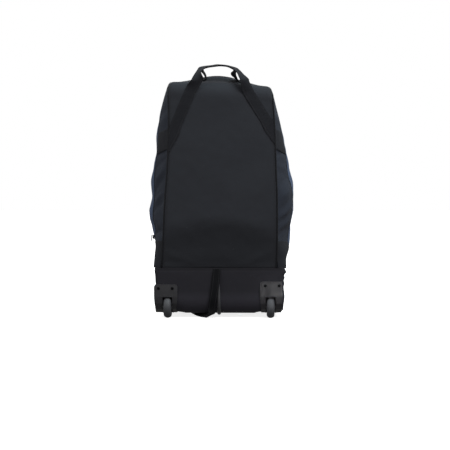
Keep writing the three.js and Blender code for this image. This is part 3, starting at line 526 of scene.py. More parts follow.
def fold_height(folds, a, b):
    """How far soft folds lift the cloth at a place. Each fades out towards its own ends."""
    total = 0.0
    for a0, b0, a1, b1, width, rise in folds:
        run_a, run_b = a1 - a0, b1 - b0
        length = math.hypot(run_a, run_b)
        t = ((a - a0) * run_a + (b - b0) * run_b) / length ** 2
        if not -FOLD_END < t < 1 + FOLD_END:
            continue
        off = ((a - a0) * run_b - (b - b0) * run_a) / length
        wander = FOLD_WANDER * width * noise.noise(Vector((a, b, rise * 9)) / 38)
        ends = ease(t, -FOLD_END, FOLD_FADE) * ease(t, 1 + FOLD_END, 1 - FOLD_FADE)
        total += rise * math.exp(-((off + wander) / width) ** 2) * ends
    return total


def ripple(a, b, seed, size=60.0):
    """Slow unevenness of loose cloth, from -1 to 1."""
    slow = noise.noise(Vector((a / size, b / size, seed)))
    return slow + 0.4 * noise.noise(Vector((a / 22, b / 22, seed + 7)))


def sewn_fade(share, length, hem):
    """0 along two sewn edges and 1 from a hem's width inwards."""
    return ease(share * length, 0, hem) * ease((1 - share) * length, 0, hem)


# Meshes

def new_piece(name, bm, material, smooth=True):
    """Makes an object of a finished bmesh, its place in its mesh."""
    for face in bm.faces:
        face.smooth = smooth
    mesh = bpy.data.meshes.new(name)
    bm.to_mesh(mesh)
    bm.free()
    mesh.materials.append(material)
    piece = bpy.data.objects.new(name, mesh)
    bpy.context.scene.collection.objects.link(piece)
    return piece


def attach(piece, node_name, body="bag"):
    """The piece moves with a body and stands for a frame node."""
    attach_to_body(piece, body)
    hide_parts(node_name)


def thicken(piece, thickness, offset=-1.0, edge=0.0):
    solidify = piece.modifiers.new("Thickness", "SOLIDIFY")
    solidify.thickness = thickness
    solidify.offset = offset
    solidify.use_even_offset = True
    if edge:
        round_edges(piece, edge)


def round_edges(piece, width, angle=50):
    edges = piece.modifiers.new("Edges", "BEVEL")
    edges.width = width
    edges.segments = 2
    edges.limit_method = "ANGLE"
    edges.angle_limit = math.radians(angle)
    edges.harden_normals = True


def cloth_grid(columns, rows, flat, at, flip=False):
    """A grid of cloth with its flat size, in metres, as UVs. at places each vertex from its two shares."""
    bm = bmesh.new()
    bmesh.ops.create_grid(bm, x_segments=columns, y_segments=rows, size=0.5)
    uv = bm.loops.layers.uv.new("Flat")
    for face in bm.faces:
        for loop in face.loops:
            loop[uv].uv = ((loop.vert.co.x + 0.5) * flat[0], (loop.vert.co.y + 0.5) * flat[1])
    for vert in bm.verts:
        vert.co = at(vert.co.x + 0.5, vert.co.y + 0.5)
    if flip:
        bmesh.ops.reverse_faces(bm, faces=bm.faces)
    bm.normal_update()
    return bm


def face_outwards(bm):
    bmesh.ops.recalc_face_normals(bm, faces=bm.faces)


def face_up(bm):
    """Turns the faces of a flat shape upwards."""
    face_outwards(bm)
    if sum(face.normal.z for face in bm.faces) < 0:
        bmesh.ops.reverse_faces(bm, faces=bm.faces)


def close_holes(bm):
    bmesh.ops.holes_fill(bm, edges=[edge for edge in bm.edges if edge.is_boundary])


def bevel_edges(bm, edges, offset, segments):
    bmesh.ops.bevel(bm, geom=edges, offset=offset, offset_type="OFFSET", affect="EDGES", segments=segments,
                    profile=0.5, material=-1)


def turn_about_x(bm, verts, degrees):
    bmesh.ops.rotate(bm, verts=verts, cent=(0, 0, 0), matrix=Matrix.Rotation(math.radians(degrees), 3, "X"))


def turned(profile, steps):
    """A closed profile of places along X and radii, in millimetres, spun about X."""
    bm = bmesh.new()
    verts = [bm.verts.new((along, 0.0, radius)) for along, radius in profile]
    edges = [bm.edges.new(pair) for pair in zip(verts, verts[1:] + verts[:1])]
    bmesh.ops.spin(bm, geom=verts + edges, cent=(0, 0, 0), axis=(1, 0, 0), angle=2 * math.pi,
                   steps=steps, use_merge=True)
    bmesh.ops.remove_doubles(bm, verts=bm.verts, dist=1e-4)
    face_outwards(bm)
    return bm


def to_place(bm, x=0.0, y=0.0, z=0.0):
    """Moves a mesh in millimetres to a place on the bag, in metres."""
    bmesh.ops.translate(bm, verts=bm.verts, vec=(x, y, z))
    bmesh.ops.translate(bm, verts=bm.verts, vec=SHIFT)
    bmesh.ops.scale(bm, verts=bm.verts, vec=(MM, MM, MM))
    return bm


def block(bm, low, high):
    """A box between two corners. Returns its vertices."""
    low, high = Vector(low), Vector(high)
    matrix = Matrix.Translation((low + high) / 2) @ Matrix.Diagonal((*(high - low), 1.0))
    return bmesh.ops.create_cube(bm, size=1.0, matrix=matrix)["verts"]


def cut(bm, at, normal, clear=False, geom=None):
    """Cuts a mesh by a plane and, if asked, removes what lies on the normal's side."""
    geom = geom or [*bm.verts, *bm.edges, *bm.faces]
    bmesh.ops.bisect_plane(bm, geom=geom, dist=1e-5, plane_co=at, plane_no=normal, clear_outer=clear)


def faces_where(bm, test):
    """The faces whose middles pass a test, with their edges and vertices."""
    faces = [face for face in bm.faces if test(face.calc_center_median())]
    edges = dict.fromkeys(edge for face in faces for edge in face.edges)
    verts = dict.fromkeys(vert for face in faces for vert in face.verts)
    return [*verts, *edges, *faces]


# Finishes

def feed(tree, made, inputs):
    """Links or sets the inputs of a node."""
    for key, value in inputs.items():
        if isinstance(value, bpy.types.NodeSocket):
            tree.links.new(value, made.inputs[key])
        else:
            made.inputs[key].default_value = value


def node(tree, kind, inputs=None, **settings):
    made = tree.nodes.new(kind)
    for key, value in settings.items():
        setattr(made, key, value)
    feed(tree, made, inputs or {})
    return made


def calc(tree, operation, a, b=0.0, c=0.0):
    return node(tree, "ShaderNodeMath", {0: a, 1: b, 2: c}, operation=operation).outputs[0]


def blend(tree, factor, a, b, kind="MIX"):
    made = node(tree, "ShaderNodeMix", {0: factor, 6: a, 7: b}, data_type="RGBA", blend_type=kind)
    return made.outputs[2]


def noise_value(tree, vector, scale, detail=2.0, roughness=0.5):
    return node(tree, "ShaderNodeTexNoise", {
        "Vector": vector, "Scale": scale, "Detail": detail, "Roughness": roughness,
    }).outputs[0]


def spread(tree, value, from_low, from_high, to_low=0.0, to_high=1.0):
    return node(tree, "ShaderNodeMapRange", {
        "Value": value, "From Min": from_low, "From Max": from_high, "To Min": to_low, "To Max": to_high,
    }).outputs[0]


KINDS = {"V": "NodeSocketVector", "F": "NodeSocketFloat", "C": "NodeSocketColor"}


def effect(name, inputs, outputs, build):
    """A shader node group with named sockets, built once and shared."""
    if name in bpy.data.node_groups:
        return bpy.data.node_groups[name]
    tree = bpy.data.node_groups.new(name, "ShaderNodeTree")
    for label, kind in inputs.items():
        tree.interface.new_socket(name=label, in_out="INPUT", socket_type=KINDS[kind])
    for label, kind in outputs.items():
        tree.interface.new_socket(name=label, in_out="OUTPUT", socket_type=KINDS[kind])
    given = tree.nodes.new("NodeGroupInput").outputs
    result = tree.nodes.new("NodeGroupOutput")
    for label, socket in build(tree, given).items():
        tree.links.new(socket, result.inputs[label])
    return tree


def use(tree, group, **inputs):
    made = node(tree, "ShaderNodeGroup", node_tree=group)
    feed(tree, made, inputs)
    return made.outputs


def pitched(tree, given):
    """The axes of a group's vector, counted in pitches."""
    scale = calc(tree, "DIVIDE", 1.0, given["Pitch"])
    flat = node(tree, "ShaderNodeVectorMath", {0: given["Vector"], "Scale": scale}, operation="SCALE")
    return node(tree, "ShaderNodeSeparateXYZ", {0: flat.outputs[0]}).outputs


def wave(tree, value):
    """A sine that turns once in every two steps."""
    return calc(tree, "SINE", calc(tree, "MULTIPLY", value, math.pi))


def woven(name, low, high, height_of):
    """A group with the height of threads and their painted light and shade, from dark in their gaps to light
    on their crests.
    """
    def build(tree, given):
        axes = pitched(tree, given)
        height = height_of(tree, axes[0], axes[1])
        return {"Height": height, "Shade": spread(tree, height, 0.0, 1.0, low, high)}
    return effect(name, {"Vector": "V", "Pitch": "F"}, {"Height": "F", "Shade": "F"}, build)


def plain_weave():
    def height_of(tree, across, along):
        yarns = []
        for a, b, phase in ((across, along, 0.0), (along, across, 1.0)):
            crest = calc(tree, "ABSOLUTE", wave(tree, a))
            turn = calc(tree, "ADD", calc(tree, "ADD", calc(tree, "FLOOR", a), b), phase)
            over = calc(tree, "MULTIPLY_ADD", wave(tree, turn), 0.5, 0.5)
            yarns.append(calc(tree, "MULTIPLY", crest, over))
        return calc(tree, "MAXIMUM", *yarns)
    return woven("Plain weave", 0.72, 1.08, height_of)


def webbing_rib():
    def height_of(tree, across, along):
        rib = calc(tree, "ABSOLUTE", wave(tree, across))
        chevron = calc(tree, "PINGPONG", across, 3.0)
        slant = calc(tree, "ADD", calc(tree, "MULTIPLY", along, 1.3), chevron)
        pick = calc(tree, "MULTIPLY_ADD", wave(tree, slant), 0.5, 0.5)
        return calc(tree, "ADD", calc(tree, "MULTIPLY", rib, 0.6), calc(tree, "MULTIPLY", pick, 0.4))
    return woven("Webbing rib", 0.7, 1.1, height_of)


def uneven_dye_and_painted_shade():
    def build(tree, given):
        wide = noise_value(tree, given["Vector"], 7.0, 3.0)
        fine = noise_value(tree, given["Vector"], 85.0, 3.0, 0.6)
        both = calc(tree, "MULTIPLY_ADD", fine, 0.4, calc(tree, "MULTIPLY", wide, 0.6))
        value = calc(tree, "MULTIPLY_ADD", calc(tree, "SUBTRACT", both, 0.5), given["Amount"], 1.0)
        # Shade brings painted light and shade from the finishes and scales the dyed colour
        shade = calc(tree, "MULTIPLY", value, given["Shade"])
        colour = node(tree, "ShaderNodeVectorMath", {0: given["Colour"], "Scale": shade}, operation="SCALE")
        return {"Colour": colour.outputs[0], "Variation": both}
    return effect("Uneven dye and painted shade", {"Vector": "V", "Colour": "C", "Amount": "F", "Shade": "F"},
                  {"Colour": "C", "Variation": "F"}, build)


def dust_and_lint():
    def build(tree, given):
        z = node(tree, "ShaderNodeSeparateXYZ", {0: given["Vector"]}).outputs[2]
        low = spread(tree, z, given["Top"], 0.0)
        cloud = spread(tree, noise_value(tree, given["Vector"], 26.0, 5.0, 0.65), 0.44, 0.78)
        speck = spread(tree, noise_value(tree, given["Vector"], 330.0, 1.0), 0.775, 0.80)
        dust = calc(tree, "MULTIPLY", low, calc(tree, "MULTIPLY", cloud, 0.75))
        return {"Dust": dust, "Lint": calc(tree, "MULTIPLY", speck, 0.2)}
    return effect("Dust and lint", {"Vector": "V", "Top": "F"}, {"Dust": "F", "Lint": "F"}, build)


def stitch_row():
    def build(tree, given):
        off = calc(tree, "ABSOLUTE", calc(tree, "SUBTRACT", given["Across"], given["Line"]))
        near = spread(tree, off, 0.0003, 0.0009, 1.0, 0.0)
        turn = calc(tree, "FRACT", calc(tree, "DIVIDE", given["Along"], STITCH_PITCH))
        dash = spread(tree, calc(tree, "ABSOLUTE", calc(tree, "SUBTRACT", turn, 0.5)), 0.36, 0.42, 1.0, 0.0)
        pucker = spread(tree, off, 0.0, 0.0035, -1.0, 0.0)
        thread = calc(tree, "MULTIPLY", near, dash)
        return {"Thread": thread, "Height": calc(tree, "ADD", pucker, calc(tree, "MULTIPLY", thread, 1.2))}
    return effect("Stitch row", {"Across": "F", "Along": "F", "Line": "F"},
                  {"Thread": "F", "Height": "F"}, build)


def moulded_grain():
    def build(tree, given):
        grain = noise_value(tree, given["Vector"], 1400.0, 2.0)
        streak = {"Vector": given["Vector"], "Scale": (60.0, 60.0, 700.0)}
        stretched = node(tree, "ShaderNodeMapping", streak).outputs[0]
        scuff = spread(tree, noise_value(tree, stretched, 1.0, 4.0, 0.6), 0.58, 0.80)
        patch = spread(tree, noise_value(tree, given["Vector"], 22.0, 2.0), 0.42, 0.66)
        return {"Height": grain, "Scuff": calc(tree, "MULTIPLY", scuff, patch)}
    return effect("Moulded grain", {"Vector": "V"}, {"Height": "F", "Scuff": "F"}, build)


def shared(finish):
    """Gives back the material of a name where it has been made before."""
    @wraps(finish)
    def get(name, *values, **named):
        return bpy.data.materials.get(name) or finish(name, *values, **named)
    return get


def new_finish(name):
    """A material with its node tree, its shader and its object coordinates."""
    material = bpy.data.materials.new(name)
    material.use_nodes = True
    tree = material.node_tree
    where = tree.nodes.new("ShaderNodeTexCoord").outputs["Object"]
    return material, tree, tree.nodes["Principled BSDF"], where


def tint(colour, share=1.0, base=0.0):
    """A colour made darker or paler, with its alpha."""
    return (*(base + share * c for c in colour), 1.0)


def darker(colour, share):
    return tuple(share * c for c in colour)


def set_shader(shader, **values):
    for key, value in values.items():
        shader.inputs[key.replace("_", " ").title().replace("Ior", "IOR")].default_value = value


def flat_axes(tree):
    flat = node(tree, "ShaderNodeUVMap", uv_map="Flat").outputs[0]
    axes = node(tree, "ShaderNodeSeparateXYZ", {0: flat}).outputs
    return flat, axes[0], axes[1]


def bump(tree, shader, height, strength, distance):
    made = node(tree, "ShaderNodeBump", {"Height": height, "Strength": strength, "Distance": distance})
    tree.links.new(made.outputs[0], shader.inputs["Normal"])


def painted_low_shade(tree, where, amount):
    """Painted shade: the cloth is darker low on the bag, below a soft arched and uneven line."""
    x, _, z = node(tree, "ShaderNodeSeparateXYZ", {0: where}).outputs
    arch = calc(tree, "MULTIPLY_ADD", calc(tree, "MULTIPLY", x, x), PAINTED_SHADE_ARCH, z)
    uneven = calc(tree, "MULTIPLY_ADD", noise_value(tree, where, 14.0, 3.0), 0.04, arch)
    # At the panel's foot, where it curves in towards the base, the painted shade eases off: painted light
    # against the shade that falls there
    foot = spread(tree, z, 0.145, 0.165, min(1.35 * amount, 1.0), amount)
    return spread(tree, uneven, PAINTED_SHADE_Z - 0.014, PAINTED_SHADE_Z + 0.03, foot, 1.0)


def stitch(tree, shown, height, thread, rows):
    """Adds rows of stitching to a colour and a height. Each is its places across and along, and its line."""
    for across, along, line in rows:
        row = use(tree, stitch_row(), Across=across, Along=along, Line=line)
        shown = blend(tree, row["Thread"], shown, thread)
        height = calc(tree, "ADD", height, row["Height"])
    return shown, height


def finish_shader(tree, shader, shown, rough):
    tree.links.new(shown, shader.inputs["Base Color"])
    tree.links.new(rough, shader.inputs["Roughness"])


@shared
def cloth_finish(name, colour, roughness=0.85, sheen=0.06, dye=0.35, stitched=(), low=1.0, heights=()):
    """Woven cloth. stitched lists rows of stitching: the axis that they lie off, and how far off its zero.
    low is how dark the painted shade makes it low on the bag. heights lists more painted light and shade: two
    heights, shade below and above."""
    material, tree, shader, where = new_finish(name)
    flat, across, along = flat_axes(tree)
    weave = use(tree, plain_weave(), Vector=flat, Pitch=sizes().yarn)
    # The weave's painted shade darkens the gaps between yarns and lightens their crests
    shade = weave["Shade"]
    # Painted shade darkens the cloth low on the bag
    if low < 1:
        shade = calc(tree, "MULTIPLY", shade, painted_low_shade(tree, where, low))
    # Painted light and shade by height, such as the base's bands
    for low_z, high_z, below, above in heights:
        z = node(tree, "ShaderNodeSeparateXYZ", {0: where}).outputs[2]
        shade = calc(tree, "MULTIPLY", shade, spread(tree, z, low_z, high_z, below, above))
    dyed_and_shaded = use(tree, uneven_dye_and_painted_shade(), Vector=where, Colour=tint(colour), Amount=dye, Shade=shade)
    worn = use(tree, dust_and_lint(), Vector=where, Top=CLOTH_DUST_TOP)
    soiled = calc(tree, "MAXIMUM", worn["Dust"], worn["Lint"])
    shown = blend(tree, soiled, dyed_and_shaded["Colour"], tint(colour, 0.4, 0.16))
    height = calc(tree, "MULTIPLY", weave["Height"], 0.35)
    ways = {"across": (across, along), "along": (along, across)}
    rows = [(*ways[axis], line) for axis, line in stitched]
    shown, height = stitch(tree, shown, height, tint(colours().thread, 0.8), rows)
    rough = spread(tree, dyed_and_shaded["Variation"], 0.3, 0.7, roughness - 0.08, roughness + 0.08)
    finish_shader(tree, shader, shown, rough)
    bump(tree, shader, height, 0.55, 0.0006)
    set_shader(shader, sheen_weight=sheen, sheen_roughness=0.45, specular_ior_level=0.14)
    shader.inputs["Sheen Tint"].default_value = (*(min(6 * c + 0.25, 1.0) for c in colour), 1.0)
    return material


@shared
def webbing_finish(name, colour, width=0.0):
    """Ribbed webbing, with a row of stitching near both edges where its width is given."""
    material, tree, shader, where = new_finish(name)
    flat, across, along = flat_axes(tree)
    rib = use(tree, webbing_rib(), Vector=flat, Pitch=sizes().rib)
    # The rib's painted shade darkens the webbing between its ribs and lightens their crests
    dyed_and_shaded = use(tree, uneven_dye_and_painted_shade(), Vector=where, Colour=tint(colour), Amount=0.4, Shade=rib["Shade"])
    worn = use(tree, dust_and_lint(), Vector=where, Top=DUST_TOP)
    soiled = calc(tree, "MAXIMUM", worn["Dust"], worn["Lint"])
    shown = blend(tree, soiled, dyed_and_shaded["Colour"], (0.14, 0.14, 0.14, 1.0))
    height = calc(tree, "MULTIPLY", rib["Height"], 0.8)
    lines = (WEBBING_HEM, width - WEBBING_HEM) if width else ()
    rows = [(across, along, line) for line in lines]
    shown, height = stitch(tree, shown, height, tint(colours().thread), rows)
    rough = spread(tree, dyed_and_shaded["Variation"], 0.3, 0.7, 0.55, 0.72)
    finish_shader(tree, shader, shown, rough)
    bump(tree, shader, height, 0.7, 0.0006)
    set_shader(shader, sheen_weight=0.03, sheen_roughness=0.4, specular_ior_level=0.06)
    return material


@shared
def moulded_finish(name, colour, roughness, scuffed=0.25, depth=0.00015):
    """Moulded plastic or rubber with a fine grain, scuffs and a little dust low down."""
    material, tree, shader, where = new_finish(name)
    grain = use(tree, moulded_grain(), Vector=where)
    dyed_and_shaded = use(tree, uneven_dye_and_painted_shade(), Vector=where, Colour=tint(colour), Amount=0.25, Shade=1.0)
    worn = use(tree, dust_and_lint(), Vector=where, Top=DUST_TOP)
    scuff = calc(tree, "MULTIPLY", grain["Scuff"], scuffed)
    marks = calc(tree, "MAXIMUM", scuff, calc(tree, "MULTIPLY", worn["Dust"], 0.5))
    shown = blend(tree, marks, dyed_and_shaded["Colour"], tint(colour, 1.6, 0.05))
    uneven = calc(tree, "ADD", dyed_and_shaded["Variation"], scuff)
    rough = spread(tree, uneven, 0.3, 0.9, roughness - 0.07, roughness + 0.16)
    finish_shader(tree, shader, shown, rough)
    bump(tree, shader, grain["Height"], 0.35, depth)
    set_shader(shader, specular_ior_level=0.5)
    return material


@shared
def metal_finish(name, colour, roughness):
    material, tree, shader, where = new_finish(name)
    grain = use(tree, moulded_grain(), Vector=where)
    dyed_and_shaded = use(tree, uneven_dye_and_painted_shade(), Vector=where, Colour=tint(colour), Amount=0.3, Shade=1.0)
    uneven = calc(tree, "ADD", dyed_and_shaded["Variation"], grain["Scuff"])
    rough = spread(tree, uneven, 0.3, 1.0, roughness, roughness + 0.25)
    finish_shader(tree, shader, dyed_and_shaded["Colour"], rough)
    bump(tree, shader, grain["Height"], 0.2, 0.0001)
    set_shader(shader, metallic=1.0)
    return material


# Panels of the soft body

def wide_point(station, length, total, u, folds, seed, outward):
    """A place on a panel across the bag's width, with its folds and ripples."""
    y, z, half, shift, crown, tilt, top = station(length)
    x = shift + half * u
    fade = ease(1 - abs(u), 0.0, WIDE_HOLD) * sewn_fade(length / total, total, WIDE_HEM)
    loose = fade * (fold_height(folds, x, length) + WIDE_RIPPLE * ripple(x, length, seed, WIDE_RIPPLE_SIZE))
    lift = crown * swell_shape(u) + top_swell(top, u) + loose
    return place(x, y + outward * math.cos(tilt) * lift, z + math.sin(tilt) * lift)


def side_grid(side, sign, columns, rows, y_at, folds, seed, flat, tuck=0.0):
    """A side panel between the base seam and the top, from its back edge to its front edge.
    tuck is how much of its width turns in under the front panel's edge."""
    low, high = SEAM_Z + GAP, TOP_Z - SIDE_BELOW_TOP

    def at(share, rise):
        z = mix(low, high, rise)
        y = y_at(z, share)
        half = side_half(side, y, z)
        fade = sewn_fade(share, flat[0] / MM, SIDE_HEM) * sewn_fade(rise, high - low, SIDE_END_HEM)
        rumple = fade * (fold_height(folds, y, z) + SIDE_RIPPLE * ripple(y, z, seed))
        if tuck:
            proud = half - section(z, "front_half") + GAP
            rumple -= max(proud, 0.0) * ease(share, 1 - tuck, 1)
        return place(sign * (half + rumple), y, z)

    return cloth_grid(columns, rows, flat, at, flip=sign < 0)


def seam_rows(flat, hems):
    """Rows of stitching, in from both long edges of a panel and from the end that it starts at."""
    near, far, start = hems
    return ("across", near), ("across", flat[0] - far), ("along", start)


def sheet_piece(node_name, bm, cloth):
    """A panel of padded cloth, sewn to the base, that stands for the frame node of that name."""
    piece = new_piece(f"{node_name}_cloth", bm, cloth)
    thicken(piece, sizes().cloth)
    attach(piece, node_name)


def panel_tree(name):
    """A search tree over a finished panel's outer face."""
    bm = bmesh.new()
    bm.from_mesh(bpy.data.objects[name].data)
    tree = BVHTree.FromBMesh(bm)
    bm.free()
    return tree


class BAG_OT_back_panel(bpy.types.Operator):
    """The dark panel up the bag's back and over its top edge to the zip"""
    bl_idname = "travelbag.back_panel"
    bl_label = "Back Panel"

    def execute(self, context):
        def at(share, rise):
            length = rise * BACK_LENGTH
            return wide_point(back_station, length, BACK_LENGTH, 2 * share - 1, BACK_FOLDS, 3.0, -1)

        rows = seam_rows(BACK_FLAT, BACK_HEMS)
        # Painted shade darkens the back's cloth low down, below an arched line
        cloth = cloth_finish("Back cloth", colours().back, stitched=rows, low=0.76)
        sheet_piece("back_panel", cloth_grid(84, 150, BACK_FLAT, at), cloth)
        return {"FINISHED"}


class BAG_OT_side_panels(bpy.types.Operator):
    """The dark side panels between the back panel and the zip"""
    bl_idname = "travelbag.side_panels"
    bl_label = "Side Panels"

    def execute(self, context):
        rows = seam_rows(BACK_SIDE_FLAT, BACK_SIDE_HEMS)
        cloth = cloth_finish("Side cloth", colours().side, stitched=rows)
        for side, sign in SIDES:
            bm = side_grid(side, sign, 34, 170, back_side_y, SIDE_FOLDS[side], 11.0 + sign, BACK_SIDE_FLAT)
            sheet_piece(f"back_side_{side}", bm, cloth)
        return {"FINISHED"}


# Bands: name, lower and upper height at the piping, and drop towards the zip
SIDE_BANDS = (("upper_side_band", 474.0, 532.0, 12.0), ("lower_side_band", 148.0, 218.0, 4.0))
BAND_Y = -146
BAND_RUN = 75.0
BAND_LIFT = 0.0005
BAND_FLARE = 3.0
BAND_FLARE_TOP = 172
BAND_DROP = {"left": 5.0, "right": 7.0}


class BAG_OT_side_bands(bpy.types.Operator):
    """The dark bands sewn over the side panels"""
    bl_idname = "travelbag.side_bands"
    bl_label = "Side Bands"

    def execute(self, context):
        cloth = cloth_finish("Band cloth", colours().band, roughness=0.8, sheen=0.04)
        lift = sizes().band + BAND_LIFT
        for side, sign in SIDES:
            for name, low, high, drop in SIDE_BANDS:
                bm = bmesh.new()
                bm.from_mesh(bpy.data.objects[f"back_side_{side}_cloth"].data)
                slope = Vector((0.0, drop / BAND_RUN, 1.0)).normalized()
                cut(bm, place(0, BAND_Y, low), -slope, clear=True)
                cut(bm, place(0, BAND_Y, high), slope, clear=True)
                bm.normal_update()
                for vert in bm.verts:
                    vert.co += lift * vert.normal
                    foot = MM * ease(vert.co.z / MM, BAND_FLARE_TOP, BASE_RIM_Z + 2)
                    vert.co += Vector((sign * BAND_FLARE * foot, 0.0, -BAND_DROP[side] * foot))
                piece = new_piece(f"{name}_{side}_cloth", bm, cloth)
                thicken(piece, sizes().band)
                attach(piece, f"{name}_{side}")
        return {"FINISHED"}


class BAG_OT_front(bpy.types.Operator):
    """The blue front part: its front panel and its two sides"""
    bl_idname = "travelbag.front"
    bl_label = "Front"

    def execute(self, context):
        def at(share, rise):
            length = rise * FRONT_LENGTH
            return wide_point(front_station, length, FRONT_LENGTH, 2 * share - 1, FRONT_FOLDS, 23.0, 1)

        rows = seam_rows(FRONT_FLAT, FRONT_HEMS)
        cloth = cloth_finish("Blue cloth", colours().front, dye=0.3, stitched=rows)
        sheet_piece("front_panel", cloth_grid(84, 170, FRONT_FLAT, at), cloth)
        flat = FRONT_SIDE_FLAT
        rows = seam_rows(flat, FRONT_SIDE_HEMS)
        cloth = cloth_finish("Blue side cloth", colours().front, dye=0.3, stitched=rows)
        for side, sign in SIDES:
            bm = side_grid(side, sign, 60, 150, front_side_y, FRONT_SIDE_FOLDS, 31.0 + sign, flat,
                           FRONT_SIDE_TUCK)
            sheet_piece(f"front_side_{side}", bm, cloth)
        return {"FINISHED"}


# Seams and zip

def tube(name, points, radius, material):
    """A round cord through points, as a mesh with closed ends."""
    curve = bpy.data.curves.new(name, "CURVE")
    curve.dimensions = "3D"
    curve.bevel_depth = radius
    curve.bevel_resolution = PIPING_SIDES // 2 - 1
    curve.use_fill_caps = True
    spline = curve.splines.new("POLY")
    spline.points.add(len(points) - 1)
    for made, point in zip(spline.points, points):
        made.co = (*point, 1.0)
    holder = bpy.data.objects.new(name, curve)
    mesh = bpy.data.meshes.new_from_object(holder)
    bpy.data.objects.remove(holder)
    bpy.data.curves.remove(curve)
    bm = bmesh.new()
    bm.from_mesh(mesh)
    bpy.data.meshes.remove(mesh)
    bmesh.ops.remove_doubles(bm, verts=bm.verts, dist=1e-6)
    face_outwards(bm)
    return new_piece(name, bm, material)


class BAG_OT_piping(bpy.types.Operator):
    """The corded seams between the back panel and the sides"""
    bl_idname = "travelbag.piping"
    bl_label = "Piping"

    def execute(self, context):
        finish = cloth_finish("Piping cloth", darker(colours().webbing, 0.74), roughness=0.7, sheen=0.04)
        radius = sizes().piping
        off = (radius / MM - PIPING_SEAT) / math.sqrt(2)
        for side, sign in SIDES:
            points = []
            for k in range(PIPING_STEPS + 1):
                length = (BACK_LENGTH - 2 * radius / MM) * k / PIPING_STEPS
                y, z, half, shift, _, tilt, _ = back_station(length)
                sunk = off * mix(1.0, -0.2, ease(tilt, 0.9, math.pi / 2))
                spot = shift + sign * (half + sunk), y - off * math.cos(tilt), z + sunk * math.sin(tilt)
                points.append(place(*spot))
            piece = tube(f"piping_{side}_cord", points, radius, finish)
            attach(piece, f"piping_{side}")
        return {"FINISHED"}


def zip_path():
    """The zip's line up the left side, over the top and down the right side."""
    heights = (ZIP_END_Z, 227, 250, 283, 315, 345, 375, 405, 437,
               468, 500, 522, 545, 572, 594, 612, 626, TOP_Z - 4)
    left = [Vector((-side_half("left", ZIP_Y, z), ZIP_Y, z)) for z in heights]
    right = [Vector((side_half("right", ZIP_Y, z), ZIP_Y, z)) for z in reversed(heights)]
    half, shift, _ = top_station(ZIP_Y)
    across = (-0.985, -0.95, *(0.18 * k for k in range(-5, 6)), 0.95, 0.985)
    top = [Vector((shift + half * u, ZIP_Y, top_surface_z(shift + half * u, ZIP_Y))) for u in across]
    return left + top + right


# The zip's tape and teeth, and the boxes of its slider
ZIP_STEP = 2.1
TAPE_DEPTH, TAPE_CURL, TAPE_THICKNESS = -0.7, 0.5, 0.0008
TOOTH_SIZE, TOOTH_OFF, TOOTH_LIFT, TOOTH_BEVEL = (1.15, 2.7, 1.5, 1.0), 0.85, 0.05, 0.28
SLIDER_BOXES = (
    ((-1.4, -4.5, -6.5), (0, 4.5, 6.5)), ((-3.6, -3.4, -5.6), (-2.2, 3.4, 5.6)),
    ((-2.3, -1.2, -1.0), (-1.3, 1.2, 5.0)), ((-5.0, -0.9, -3.6), (-3.5, 0.9, -2.2)),
    ((-5.0, -0.9, 4.0), (-3.5, 0.9, 5.4)), ((-5.0, -0.9, -2.4), (-4.2, 0.9, 4.2)),
)


